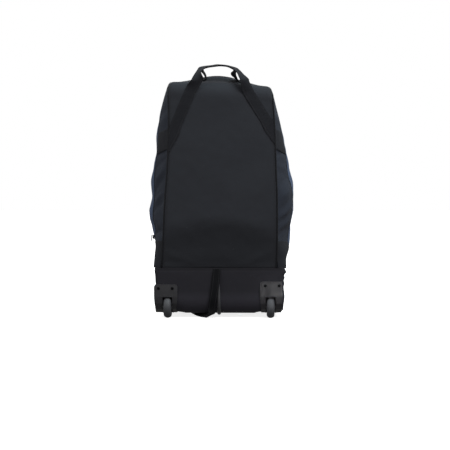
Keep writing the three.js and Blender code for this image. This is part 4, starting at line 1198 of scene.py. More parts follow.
class BAG_OT_zip(bpy.types.Operator):
    """The zip's tape and teeth, its slider and its pull"""
    bl_idname = "travelbag.zip"
    bl_label = "Zip"

    def execute(self, context):
        path = [at for at, _ in strap_rows([(at, Vector()) for at in zip_path()], ZIP_STEP)]
        frames = []
        for i, at in enumerate(path):
            along = (path[min(i + 1, len(path) - 1)] - path[max(i - 1, 0)]).normalized()
            frames.append((at, along, Vector((-along.z, 0.0, along.x))))
        self.tape(frames)
        self.teeth(frames)
        self.slider()
        return {"FINISHED"}

    @staticmethod
    def tape(frames):
        def at(share, rise):
            centre, _, out = frames[round(rise * (len(frames) - 1))]
            spot = centre + out * (TAPE_DEPTH - TAPE_CURL * abs(2 * share - 1))
            return place(spot.x, spot.y + mix(-ZIP_HALF, ZIP_HALF, share), spot.z)

        cloth = cloth_finish("Zip tape", darker(colours().webbing, 0.9), roughness=0.75, sheen=0.04)
        length = sum((b[0] - a[0]).length for a, b in zip(frames, frames[1:])) * MM
        bm = cloth_grid(8, len(frames) - 1, (2 * ZIP_HALF * MM, length), at)
        piece = new_piece("zip_tape", bm, cloth)
        thicken(piece, TAPE_THICKNESS)
        attach(piece, "zip_chain")

    @staticmethod
    def teeth(frames):
        plastic = moulded_finish("Zip teeth", (0.012, 0.012, 0.013), 0.38, 0.1)
        size = Matrix.Diagonal(TOOTH_SIZE)
        bm = bmesh.new()
        for i, (centre, along, out) in enumerate(frames):
            side = TOOTH_OFF if i % 2 else -TOOTH_OFF
            turn = Matrix((along, Vector((0, 1, 0)), out)).transposed().to_4x4()
            spot = centre + Vector((0, side, 0)) + out * TOOTH_LIFT
            bmesh.ops.create_cube(bm, size=1.0, matrix=Matrix.Translation(spot) @ turn @ size)
        bevel_edges(bm, bm.edges[:], TOOTH_BEVEL, 1)
        for vert in bm.verts:
            vert.co = place(*vert.co)
        attach(new_piece("zip_teeth", bm, plastic), "zip_chain")

    @staticmethod
    def slider():
        """The slider rests at the zip's end on the left side, and its pull hangs off it."""
        metal = metal_finish("Zip metal", (0.03, 0.03, 0.032), 0.42)
        z = ZIP_END_Z + 9
        half = [max(side_half("left", ZIP_Y, z + k) + ZIP_RISE, side_half("left", ZIP_Y + 4.5, z + k))
                for k in (-8, 0, 8)]
        lean = math.atan2(half[2] - half[0], 16)
        seat = Matrix.Translation((-half[1] - GAP, ZIP_Y, z)) @ Matrix.Rotation(-lean, 4, "Y")
        body = bmesh.new()
        for low, high in SLIDER_BOXES:
            block(body, low, high)
        bevel_edges(body, body.edges[:], 0.35, 2)
        pull = bmesh.new()
        block(pull, (-1.6, -4.0, -18.0), (0.0, 4.0, 0.0))
        corners = [e for e in pull.edges if abs((e.verts[0].co - e.verts[1].co).x) > 1.0]
        bevel_edges(pull, corners, 2.6, 4)
        broad = [f for f in pull.faces if abs(f.normal.x) > 0.9]
        bmesh.ops.inset_individual(pull, faces=broad, thickness=1.2, depth=-0.3)
        swing = Matrix.Rotation(math.radians(8), 4, "Y")
        bmesh.ops.transform(pull, matrix=Matrix.Translation((-5.9, 0, 6.5)) @ swing, verts=pull.verts)
        for name, bm in (("zip_slider", body), ("zip_pull", pull)):
            bmesh.ops.transform(bm, matrix=seat, verts=bm.verts)
            face_outwards(bm)
            to_place(bm)
            piece = new_piece(f"{name}_metal", bm, metal, smooth=False)
            attach(piece, name)


# Webbing

def strap_stations(stations, width):
    """Place and half width of webbing at stations of place, facing, twist in degrees and set half width."""
    result = []
    for i, (at, face, twist, cut_half) in enumerate(stations):
        along = stations[min(i + 1, len(stations) - 1)][0] - stations[max(i - 1, 0)][0]
        half = cut_half or along.cross(face).normalized() * (width / 2)
        result.append((at, Matrix.Rotation(math.radians(twist), 3, along) @ half))
    return result


def edge_station(row, width):
    """Place and half width of webbing from its edges as seen from behind. Its width gives their depth."""
    far_x, far_z, near_x, near_z, y = row
    across = Vector((far_x - near_x, 0.0, far_z - near_z))
    across.y = math.sqrt(max(width ** 2 - across.length_squared, 0.0))
    return Vector(((far_x + near_x) / 2, y, (far_z + near_z) / 2)), across / 2


def strap_rows(stations, step):
    """Stations of place and half width on smooth curves, with half widths kept at their length."""
    places = [at for at, _ in stations]
    rows, last = [], len(stations) - 1
    for i in range(last):
        k = [int(clamp(i + n, 0, last)) for n in (-1, 0, 1, 2)]
        count = max(int((places[i + 1] - places[i]).length / step), 1)
        for n in range(count + (i == last - 1)):
            t = n / count
            weights = (0.5 * (-t + 2 * t * t - t ** 3), 0.5 * (2 - 5 * t * t + 3 * t ** 3),
                       0.5 * (t + 4 * t * t - 3 * t ** 3), 0.5 * (t ** 3 - t * t))
            at = sum((w * stations[m][0] for w, m in zip(weights, k)), Vector())
            half = sum((w * stations[m][1] for w, m in zip(weights, k)), Vector())
            length = mix(stations[i][1].length, stations[i + 1][1].length, t)
            rows.append((at, half.normalized() * length))
    return rows


def strap_grid(rows, width, settle=None):
    """Webbing through rows of place and half width. settle may move a place, in millimetres."""
    length = sum((b[0] - a[0]).length for a, b in zip(rows, rows[1:]))

    def at(share, rise):
        centre, half = rows[round(rise * (len(rows) - 1))]
        spot = centre + half * (2 * share - 1)
        return place(*(settle(spot) if settle else spot))

    return cloth_grid(10, len(rows) - 1, (width * MM, length * MM), at)


def webbing_piece(node_name, bm, finish):
    """A strap that stands for the frame node of that name."""
    strap = new_piece(f"{node_name}_webbing", bm, finish)
    thicken(strap, sizes().webbing, 0.0, WEBBING_EDGE)
    attach(strap, node_name)


def back_surface_y(x, z):
    u = (x - section(z, "back_shift")) / section(z, "back_half")
    return section(z, "back_y") - section(z, "back_crown") * swell_shape(u)


def back_facing(x, z):
    slope_x = back_surface_y(x + 1, z) - back_surface_y(x - 1, z)
    slope_z = back_surface_y(x, z + 1) - back_surface_y(x, z - 1)
    return Vector((slope_x / 2, -1, slope_z / 2)).normalized()


class BAG_OT_handle(bpy.types.Operator):
    """The handle strap, sewn into both side seams, and the lining under its grip"""
    bl_idname = "travelbag.handle"
    bl_label = "Handle"

    def execute(self, context):
        panel = panel_tree("back_panel_cloth")

        def settle(spot):
            """Keeps the strap just outside the panel where it lies on it."""
            if spot.z > STRAP_FREE_Z:
                return spot
            start = place(spot.x, spot.y - 40, spot.z)
            hit = panel.ray_cast(start, Vector((0, 1, 0)), 0.06)[0]
            if hit is None:
                return spot
            limit = hit.y / MM - SHIFT.y - STRAP_OFF
            free = ease(spot.z, *STRAP_LIFTS_Z)
            return Vector((spot.x, mix(limit, min(limit, spot.y), free), spot.z))

        stations = self.half_strap("right", 1.0) + self.half_strap("left", -1.0)[::-1]
        rows = strap_rows(strap_stations(stations, HANDLE_WIDTH), 3.0)
        finish = webbing_finish("Handle webbing", colours().webbing, HANDLE_WIDTH * MM)
        webbing_piece("handle_strap", strap_grid(rows, HANDLE_WIDTH, settle), finish)
        rows = strap_rows(self.half_lining("right") + self.half_lining("left")[::-1], 2.4)
        finish = webbing_finish("Lining webbing", colours().webbing)
        webbing_piece("handle_lining", strap_grid(rows, LINING_WIDTH), finish)
        return {"FINISHED"}

    @staticmethod
    def half_strap(side, sign):
        """The strap's stations from one side seam up to the middle of the grip."""
        seam_z, top_x, top_z = STRAPS[side]

        def seam_x(z):
            return section(z, "back_shift") + sign * (section(z, "back_half") - 1)

        def on_panel(x, z):
            return Vector((x, back_surface_y(x, z) - STRAP_OFF, z))

        lean = math.atan2(abs(seam_x(seam_z) - top_x), top_z - seam_z)
        half_cut = HANDLE_WIDTH / 2 / math.sin(lean)
        low, high = (on_panel(seam_x(z), z) for z in (seam_z - half_cut, seam_z + half_cut))
        stations = [((low + high) / 2, None, 0.0, (high - low) / 2)]
        for k in range(6):
            share = mix(0.3, 1.0, k / 5)
            x, z = mix(seam_x(seam_z), top_x, share), mix(seam_z, top_z, share)
            stations.append((on_panel(x, z), back_facing(x, z), 0.0, None))
        for row in HANDLE_EDGES[side]:
            at, half = edge_station(row, HANDLE_WIDTH)
            stations.append((at, None, 0.0, half))
        return stations

    @staticmethod
    def half_lining(side):
        """The inner strap's stations from its sewn tab up to the middle of the grip."""
        half, stations = LINING_WIDTH / 2, []
        for x, rise, slope in LINING_TABS[side]:
            at = Vector((x, LINING_TAB_Y, top_surface_z(x, LINING_TAB_Y) + 1.7 + rise))
            stations.append((at, Vector((0, half, half * slope))))
        return stations + [edge_station(row, LINING_WIDTH) for row in LINING_EDGES[side]]


class BAG_OT_grab_strap(bpy.types.Operator):
    """The loose strap over the back edge of the base"""
    bl_idname = "travelbag.grab_strap"
    bl_label = "Grab Strap"

    def execute(self, context):
        stations = []
        last = len(GRAB_STATIONS) - 1
        for i, at in enumerate(GRAB_STATIONS):
            before, after = GRAB_STATIONS[max(i - 1, 0)], GRAB_STATIONS[min(i + 1, last)]
            face = Vector((0, after[2] - before[2], before[1] - after[1])).normalized()
            stations.append((Vector(at[:3]), face, at[3], None))
        rows = strap_rows(strap_stations(stations, GRAB_WIDTH), 3.0)
        finish = webbing_finish("Grab webbing", darker(colours().webbing, 0.40), GRAB_WIDTH * MM)
        webbing_piece("grab_strap", strap_grid(rows, GRAB_WIDTH), finish)
        return {"FINISHED"}


# The base

def base_sag(x, y, z):
    """How far the base's cloth hangs down along its back edge, between the brackets."""
    return BASE_SAG * ease(abs(x), *BASE_SAG_X) * ease(y, *BASE_SAG_Y) * ease(z, *BASE_SAG_Z)


def base_outline(z, inset, share):
    """A place on one level of the base, a share of the way round it."""
    def rounded(radius):
        rise = BASE_BOTTOM_Z + radius - z
        if rise <= 0:
            return inset
        return radius - math.sqrt(max((radius - inset) ** 2 - rise * rise, 0.0))

    half = BASE_HALF - rounded(BASE_END_RADIUS)
    back = BASE_BACK_Y + rounded(BASE_BACK_RADIUS)
    front = BASE_FRONT_Y - rounded(BASE_FRONT_RADIUS)
    radius = max(BASE_CORNER_RADIUS - inset, 1.0)
    lengths = [2 * (half - radius), front - back - 2 * radius] * 2
    arc = radius * math.pi / 2
    total = sum(lengths) + 4 * arc
    run = share * total
    corners = ((half - radius, back + radius, -90), (half - radius, front - radius, 0),
               (radius - half, front - radius, 90), (radius - half, back + radius, 180))
    starts = ((radius - half, back), (half, back + radius), (half - radius, front), (-half, front - radius))
    ways = ((1, 0), (0, 1), (-1, 0), (0, -1))
    for side in range(4):
        if run <= lengths[side]:
            return starts[side][0] + ways[side][0] * run, starts[side][1] + ways[side][1] * run
        run -= lengths[side]
        if run <= arc:
            x, y, start = corners[side]
            angle = math.radians(start) + run / radius
            return x + radius * math.cos(angle), y + radius * math.sin(angle)
        run -= arc
    return starts[0]


# Levels of the base from its rim down: height and how far inside the base's outline
BASE_LEVELS = (
    (BASE_RIM_Z, BASE_FLANGE), (BASE_RIM_Z, 12.0), (BASE_RIM_Z + 0.8, 2.4), (BASE_RIM_Z + 0.6, 1.4),
    (BASE_RIM_Z - 0.6, 1.0), (BASE_RIM_Z - 3.6, 0.8), (BASE_RIM_Z - 6.6, 0.4), (132.0, 0.1),
    *((z, 0.0) for z in (128, 124, 120, 116, 112, 107, 102, 97, 92, 85, 78, 71, 65)),
    *((BASE_BOTTOM_Z + BASE_BACK_RADIUS * (1 - math.sin(math.radians(a))), 0.0)
      for a in (0, 7, 14, 21, 28, 35, 42, 49, 56, 63, 69, 75, 80, 85, 90)),
)


# Painted bands on the base's cloth: between which heights, in metres, and how bright below and above. The
# first darkens the top edge along the seam, the binding there together with painted shade under the body's
# overhang; the second lightens the lower curve, a painted light where it faces the floor.
BASE_PAINTED_LIGHT_AND_SHADE = ((0.135, 0.139, 1.0, 0.66), (0.030, 0.078, 2.15, 1.0))

# How the base's ends swell: height, size and how far out
BASE_PUFFS = {
    "left": ((138.0, 14.0, 4.0), (112.0, 16.0, 1.4)),
    "right": ((131.0, 8.5, -8.0), (117.0, 8.0, 3.4), (98.0, 6.0, -3.0), (62.0, 20.0, 3.0)),
}


class BAG_OT_base(bpy.types.Operator):
    """The stiff base, covered in cloth, with its seam's binding and the shade under the body painted as a
    dark band
    """
    bl_idname = "travelbag.base"
    bl_label = "Base"

    def execute(self, context):
        def at(share, rise):
            z, inset = BASE_LEVELS[round((1 - rise) * (len(BASE_LEVELS) - 1))]
            x, y = base_outline(z, inset, share)
            loose = ease(z, BASE_BOTTOM_Z, 40) * ease(z, BASE_RIM_Z, 120)
            push = 0.7 * loose * ripple(x + 2 * y, z, 41.0, 50)
            reach = math.hypot(x, y)
            ends = ease(abs(x), 150, 178) * ease(inset, 12, 4)
            side = "right" if x > 0 else "left"
            puff = sum(out * math.exp(-((z - level) / size) ** 2) for level, size, out in BASE_PUFFS[side])
            wide = x + push * x / reach + math.copysign(puff * ends, x)
            return place(wide, y + push * y / reach, z - base_sag(x, y, z))

        bm = cloth_grid(300, len(BASE_LEVELS) - 1, BASE_FLAT, at)
        bmesh.ops.remove_doubles(bm, verts=bm.verts, dist=1e-5)
        bottom_z = (BASE_BOTTOM_Z + 0.5) * MM
        bottom = [e for e in bm.edges if e.is_boundary and all(v.co.z < bottom_z for v in e.verts)]
        bmesh.ops.holes_fill(bm, edges=bottom)
        face_outwards(bm)
        if sum(f.normal.z for f in bm.faces if f.calc_center_median().z < bottom_z) > 0:
            bmesh.ops.reverse_faces(bm, faces=bm.faces)
        for _, x, _, _ in WHEELS:
            self.cut_well(bm, x)
        # A painted dark band along the seam and painted light on the lower curve, by height
        finish = cloth_finish("Base cloth", colours().base, roughness=0.8, sheen=0.05,
                              stitched=(("along", BASE_FLAT[1] - BASE_STITCH),), heights=BASE_PAINTED_LIGHT_AND_SHADE)
        piece = new_piece("base_tub_cloth", bm, finish)
        thicken(piece, BASE_CLOTH)
        attach(piece, "base_tub")
        return {"FINISHED"}

    @staticmethod
    def cut_well(bm, x):
        """Opens the base where a wheel's well goes through it."""
        grow = WELL_WALL + GAP
        low = place(x - WELL_HALF - grow, -200, 0)
        high = place(x + WELL_HALF + grow, WELL_FRONT_Y + grow, WELL_ROOF_Z + grow)
        for at, normal in ((low, (1, 0, 0)), (high, (1, 0, 0)), (high, (0, 1, 0)), (high, (0, 0, 1))):
            cut(bm, at, normal)
        inside = [f for f in bm.faces if all(low[k] < f.calc_center_median()[k] < high[k] for k in range(3))]
        bmesh.ops.delete(bm, geom=inside, context="FACES")


def edge_path(outset, length, top_z):
    """Y, Z and facing on the outline of the base's back edge, a length down it from a height."""
    straight = top_z - BASE_BOTTOM_Z - BASE_BACK_RADIUS
    radius = BASE_BACK_RADIUS + outset
    arc = radius * math.pi / 2
    if length <= straight:
        return BASE_BACK_Y - outset, top_z - length, 0.0
    if length <= straight + arc:
        angle = (length - straight) / radius
        y = BASE_BACK_Y + BASE_BACK_RADIUS - radius * math.cos(angle)
        return y, BASE_BOTTOM_Z + BASE_BACK_RADIUS - radius * math.sin(angle), angle
    return BASE_BACK_Y + BASE_BACK_RADIUS + length - straight - arc, BASE_BOTTOM_Z - outset, math.pi / 2


class BAG_OT_skid_rail(bpy.types.Operator):
    """The half-round rail over the back edge of the base"""
    bl_idname = "travelbag.skid_rail"
    bl_label = "Skid Rail"

    def execute(self, context):
        straight = SKID_TOP_Z - BASE_BOTTOM_Z - BASE_BACK_RADIUS
        end = SKID_END_Y - BASE_BACK_Y - BASE_BACK_RADIUS
        total = straight + (BASE_BACK_RADIUS + GAP) * math.pi / 2 + end

        def at(share, rise):
            y, z, facing = edge_path(GAP, rise * total, SKID_TOP_Z)
            size = math.sin(math.pi * mix(0.06, 0.90, rise)) ** 0.7
            angle = math.pi * clamp(share / SKID_ROUND)
            if share <= SKID_ROUND:
                x, round_z = -SKID_HALF_WIDTH * math.cos(angle), math.sin(angle)
            else:
                x, round_z = mix(1, -1, (share - SKID_ROUND) / (1 - SKID_ROUND)) * SKID_HALF_WIDTH, 0.0
            lift = 0.2 + size * SKID_HEIGHT * round_z
            z -= math.sin(facing) * lift + base_sag(SKID_X, y, z)
            return place(SKID_X + size * x, y - math.cos(facing) * lift, z)

        bm = cloth_grid(25, 70, (0.016, total * MM), at)
        bmesh.ops.remove_doubles(bm, verts=bm.verts, dist=1e-6)
        close_holes(bm)
        face_outwards(bm)
        piece = new_piece("skid_rail_plastic", bm, moulded_finish("Rail plastic", SKID_GREY, 0.36, 0.5))
        attach(piece, "skid_rail")
        return {"FINISHED"}


def bracket_relief(out, down):
    """How far the plate's face stands back: two soft swells beside a valley, and a top that leans inwards."""
    swells = (0.0, -0.9, -0.1, -1.8)
    places = (-BRACKET_HALF, -18.0, -2.0, BRACKET_HALF)
    swell = 0.0
    for a, b, low, high in zip(places, places[1:], swells, swells[1:]):
        if a <= out <= b:
            swell = mix(low, high, (out - a) / (b - a))
    return swell * ease(down, 4, 28) * ease(down, 62, 46) - 1.0 * ease(down, 22, 0)


class BAG_OT_brackets(bpy.types.Operator):
    """The moulded wheel brackets with their wells and screws"""
    bl_idname = "travelbag.brackets"
    bl_label = "Wheel Brackets"

    def execute(self, context):
        plastic = moulded_finish("Bracket plastic", colours().bracket, 0.30, 0.35)
        steel = metal_finish("Screw steel", (0.010, 0.010, 0.011), 0.5)
        for side, x, middle, top in WHEELS:
            bm = self.plate(x - middle, top, math.copysign(1.0, middle), BRACKET_TRIM[side])
            self.well(bm, x - middle)
            to_place(bm, x=middle)
            piece = new_piece(f"wheel_bracket_{side}_plastic", bm, plastic)
            piece.data.set_sharp_from_angle(angle=math.radians(15))
            round_edges(piece, 0.0005, 40)
            attach(piece, f"wheel_bracket_{side}")
            for k, off in enumerate((-0.5, 0.5)):
                bm = self.screw()
                to_place(bm, middle + off * SCREW_SPACING, SCREW_Y, top - SCREW_BELOW_TOP)
                screw = new_piece(f"bracket_screw_{side}_{k + 1}_steel", bm, steel, smooth=False)
                attach(screw, f"bracket_screw_{side}_{k + 1}")
        return {"FINISHED"}

    @staticmethod
    def plate(slot_x, top, end, trim):
        """The plate, shaped flat with its slot, lip and screw holes, then bent round the base's edge."""
        outset = GAP + BRACKET_PLATE
        straight = top - BASE_BOTTOM_Z - BASE_BACK_RADIUS
        arc = (BASE_BACK_RADIUS + outset) * math.pi / 2
        total = straight + arc + BRACKET_UNDER_Y - BASE_BACK_Y - BASE_BACK_RADIUS
        slot_start = top - SLOT_TOP_Z
        slot_end = straight + arc + WELL_FRONT_Y - BASE_BACK_Y - BASE_BACK_RADIUS
        bm = bmesh.new()
        corners = ((-BRACKET_HALF, 0), (BRACKET_HALF, 0), (BRACKET_HALF, -total), (-BRACKET_HALF, -total))
        bm.faces.new([bm.verts.new((a, b, 0.0)) for a, b in corners])
        radius, lip = BRACKET_CORNER, BRACKET_LIP
        for sign in (-1, 1):
            centre = Vector((sign * (BRACKET_HALF - radius), -radius, 0.0))
            for angle in (11, 23, 34, 45, 56, 67, 79):
                out = Vector((sign * math.cos(math.radians(angle)), math.sin(math.radians(angle)), 0.0))
                cut(bm, centre + radius * out, out, clear=True)
        lip_line = -slot_start + lip
        hole_half = SCREW_RADIUS + SCREW_ROOM
        screw_line = -SCREW_BELOW_TOP
        cut(bm, (0, lip_line, 0), (0, 1, 0))
        for a in (-WELL_HALF - lip, -WELL_HALF, WELL_HALF, WELL_HALF + lip):
            cut(bm, (slot_x + a, 0, 0), (1, 0, 0), geom=faces_where(bm, lambda at: at.y < lip_line))
        for a in (s * SCREW_SPACING / 2 + h for s in (-1, 1) for h in (-hole_half, hole_half)):
            cut(bm, (a, 0, 0), (1, 0, 0), geom=faces_where(bm, lambda at: at.y > lip_line))
        for b in (screw_line + hole_half, screw_line - hole_half, -slot_start, -slot_end):
            cut(bm, (0, b, 0), (0, 1, 0))
        for k in range(BRACKET_BENDS):
            cut(bm, (0, -straight - arc * k / BRACKET_BENDS, 0), (0, 1, 0))
        lipped = []
        for face in list(bm.faces):
            a, b, _ = face.calc_center_median() - Vector((slot_x, 0, 0))
            if abs(a) < WELL_HALF and -slot_end < b < -slot_start:
                bm.faces.remove(face)
                continue
            if abs(a) < WELL_HALF + lip and -slot_end < b < -slot_start + lip:
                lipped.append(face)
        for sign in (-1, 1):
            centre = Vector((sign * SCREW_SPACING / 2, screw_line, 0.0))
            square = next(f for f in bm.faces if (f.calc_center_median() - centre).length < 1.0)
            bmesh.ops.bisect_edges(bm, edges=square.edges[:], cuts=4)
            bmesh.ops.inset_individual(bm, faces=[square], thickness=0.5)
            for vert in square.verts:
                vert.co = centre + (SCREW_RADIUS + 0.3) * (vert.co - centre).normalized()
            bm.faces.remove(square)

        def free(at):
            """Is this place above the slot and clear of the screw holes?"""
            by_hole = abs(abs(at.x) - SCREW_SPACING / 2) < hole_half and abs(at.y - screw_line) < hole_half
            return at.y > lip_line and not by_hole

        for k in range(-8, 9):
            cut(bm, (BRACKET_MESH * k, 0, 0), (1, 0, 0), geom=faces_where(bm, free))
        for k in range(1, int(-lip_line / BRACKET_MESH) + 1):
            cut(bm, (0, -BRACKET_MESH * k, 0), (0, 1, 0), geom=faces_where(bm, free))
        bmesh.ops.delete(bm, geom=[edge for edge in bm.edges if edge.is_wire], context="EDGES")
        face_up(bm)
        bmesh.ops.inset_region(bm, faces=lipped, thickness=0.5, depth=1.0, use_even_offset=True)
        bm.normal_update()
        bmesh.ops.solidify(bm, geom=bm.faces[:], thickness=BRACKET_PLATE)
        for vert in bm.verts:
            x, along, lift = vert.co
            y, z, facing = edge_path(outset, -along, top)
            if lift > -1.0:
                lift += bracket_relief(end * x, top - z)
            x -= math.copysign(BRACKET_TAPER, x) * ease(abs(x), 16, BRACKET_HALF) * ease(z, 58, 20)
            x -= end * trim * ease(end * x, 25, BRACKET_HALF)
            vert.co = (x, y - math.cos(facing) * lift, z - math.sin(facing) * lift)
        face_outwards(bm)
        return bm

    @staticmethod
    def well(bm, x):
        """The walls that the wheel turns between, trimmed to the base's round edge."""
        made = bmesh.new()
        grow = WELL_WALL
        near, far = BASE_BACK_Y + 1, WELL_FRONT_Y + grow
        floor, roof = BASE_BOTTOM_Z + 1, WELL_ROOF_Z + grow
        block(made, (x - WELL_HALF - grow, near, floor), (x - WELL_HALF, far, roof))
        block(made, (x + WELL_HALF, near, floor), (x + WELL_HALF + grow, far, roof))
        block(made, (x - WELL_HALF, near, WELL_ROOF_Z), (x + WELL_HALF, far, roof))
        block(made, (x - WELL_HALF, WELL_FRONT_Y, floor), (x + WELL_HALF, far, WELL_ROOF_Z))
        centre = Vector((0, BASE_BACK_Y + BASE_BACK_RADIUS, BASE_BOTTOM_Z + BASE_BACK_RADIUS))
        for angle in (6, 18, 30, 42, 54, 66, 78):
            out = Vector((0, -math.cos(math.radians(angle)), -math.sin(math.radians(angle))))
            cut(made, centre + (BASE_BACK_RADIUS - 0.2) * out, out, clear=True)
            close_holes(made)
        face_outwards(made)
        mesh = bpy.data.meshes.new("well")
        made.to_mesh(mesh)
        made.free()
        bm.from_mesh(mesh)
        bpy.data.meshes.remove(mesh)

    @staticmethod
    def screw():
        """A round screw head with a cross recess, facing backwards."""
        bm = bmesh.new()
        bmesh.ops.create_circle(bm, radius=SCREW_RADIUS, segments=24, cap_ends=True)
        for a in (-0.7, 0.7, -2.4, 2.4):
            cut(bm, (a, 0, 0), (1, 0, 0))
            cut(bm, (0, a, 0), (0, 1, 0))
        cross = []
        for face in bm.faces:
            a, b, _ = face.calc_center_median()
            if min(abs(a), abs(b)) < 0.7 and max(abs(a), abs(b)) < 2.4:
                cross.append(face)
        face_up(bm)
        bmesh.ops.inset_region(bm, faces=cross, thickness=0.12, depth=-0.9)
        rim = [e for e in bm.edges if e.is_boundary]
        skirt = bmesh.ops.extrude_edge_only(bm, edges=rim)["geom"]
        verts = [v for v in skirt if isinstance(v, bmesh.types.BMVert)]
        bmesh.ops.translate(bm, verts=verts, vec=(0, 0, -2.0))
        close_holes(bm)
        face_outwards(bm)
        turn_about_x(bm, bm.verts, 90)
        return bm


class BAG_OT_wheels(bpy.types.Operator):
    """The wheels: tyres and hubs that turn, and their axles"""
    bl_idname = "travelbag.wheels"
    bl_label = "Wheels"

    def execute(self, context):
        rubber = moulded_finish("Tyre rubber", colours().tyre, 0.62, 0.5, 0.0003)
        plastic = moulded_finish("Hub plastic", colours().hub, 0.4, 0.2)
        steel = metal_finish("Axle steel", (0.62, 0.62, 0.63), 0.3)
        for side, x, _, _ in WHEELS:
            body = f"wheel_{side}"
            tyre = to_place(turned(self.tyre_profile(), 72), x, WHEEL_Y, WHEEL_RADIUS)
            attach(new_piece(f"tyre_{side}_rubber", tyre, rubber), f"tyre_{side}", body=body)
            hub = to_place(self.hub(), x, WHEEL_Y, WHEEL_RADIUS)
            piece = new_piece(f"hub_{side}_plastic", hub, plastic, smooth=False)
            round_edges(piece, 0.0004, 35)
            attach(piece, f"hub_{side}", body=body)
            rod = to_place(turned(self.axle_profile(), 28), x, WHEEL_Y, WHEEL_RADIUS)
            axle = new_piece(f"axle_{side}_steel", rod, steel, smooth=False)
            attach(axle, f"axle_{side}")
        return {"FINISHED"}

    @staticmethod
    def axle_profile():
        """A rod between the well's walls, with its ends cut off at an angle."""
        reach, r, slant = WELL_HALF + WELL_WALL - 0.3, AXLE_RADIUS, 0.6
        return [(-reach, 0.01), (-reach, r - slant), (slant - reach, r),
                (reach - slant, r), (reach, r - slant), (reach, 0.01)]

    @staticmethod
    def tyre_profile():
        """A rounded tread between two flat walls."""
        w, r = WHEEL_HALF_WIDTH, WHEEL_RADIUS
        crown = []
        for k in range(25):
            angle = math.pi * k / 24
            along = w * math.cos(angle)
            crown.append((along, r - TREAD_DEPTH + TREAD_DEPTH * math.sin(angle) ** 0.9))
        middle = len(crown) // 2
        crown[middle] = (0.0, r)
        shoulder = [(w, HUB_RADIUS), (w, HUB_RADIUS + 1.6), (w - 0.5, HUB_RADIUS + 2.2)]
        return [*shoulder, *crown, (0.5 - w, HUB_RADIUS + 2.2), (-w, HUB_RADIUS + 1.6), (-w, HUB_RADIUS)]

    @staticmethod
    def hub():
        """A hub with a rim, a thin web with ribs, and a boss at each end."""
        w, rim, bore = WHEEL_HALF_WIDTH, HUB_RADIUS - 0.3, AXLE_RADIUS + 0.3
        bm = turned([
            (-w - 1.2, bore), (w + 1.2, bore), (w + 1.2, 8.0), (w - 3, 9.2), (w - 3, rim - 3.5),
            (w - 0.5, rim - 2), (w - 0.5, rim), (0.5 - w, rim), (0.5 - w, rim - 2), (3 - w, rim - 3.5),
            (3 - w, 9.2), (-w - 1.2, 8.0),
        ], 60)
        for k in range(6):
            for sign in (-1, 1):
                middle = sign * (w - 1.9)
                rib = block(bm, (middle - 1.1, -0.8, 8.4), (middle + 1.1, 0.8, rim - 2.4))
                turn_about_x(bm, rib, 60 * k)
        return bm


class BAG_OT_feet(bpy.types.Operator):
    """The plain moulded feet under the front of the base"""
    bl_idname = "travelbag.feet"
    bl_label = "Feet"

    def execute(self, context):
        plastic = moulded_finish("Foot plastic", darker(colours().bracket, 0.9), 0.45, 0.4)
        for side, sign in SIDES:
            bm = bmesh.new()
            half_length, half_width = FOOT_LENGTH / 2, FOOT_WIDTH / 2
            block(bm, (-half_length, -half_width, 0.0), (half_length, half_width, BASE_BOTTOM_Z - GAP))
            cut(bm, (0, 0, 4.0), (0, 0, 1))
            low = [v for v in bm.verts if v.co.z < 0.1]
            bmesh.ops.scale(bm, verts=low, vec=(1 - 8 / FOOT_LENGTH, 1 - 8 / FOOT_WIDTH, 1))
            upright = [e for e in bm.edges if abs(e.verts[0].co.z - e.verts[1].co.z) > 2]
            bevel_edges(bm, upright, 3.0, 4)
            sole = [f for f in bm.faces if f.normal.z < -0.9 and f.calc_center_median().z < 0.1]
            bmesh.ops.inset_region(bm, faces=sole, thickness=2.0, depth=0.0)
            face_outwards(bm)
            to_place(bm, sign * FOOT_X, FOOT_Y, 0.0)
            piece = new_piece(f"foot_{side}_plastic", bm, plastic, smooth=False)
            round_edges(piece, 0.0006, 35)
            attach(piece, f"foot_{side}")
        return {"FINISHED"}


# The stage

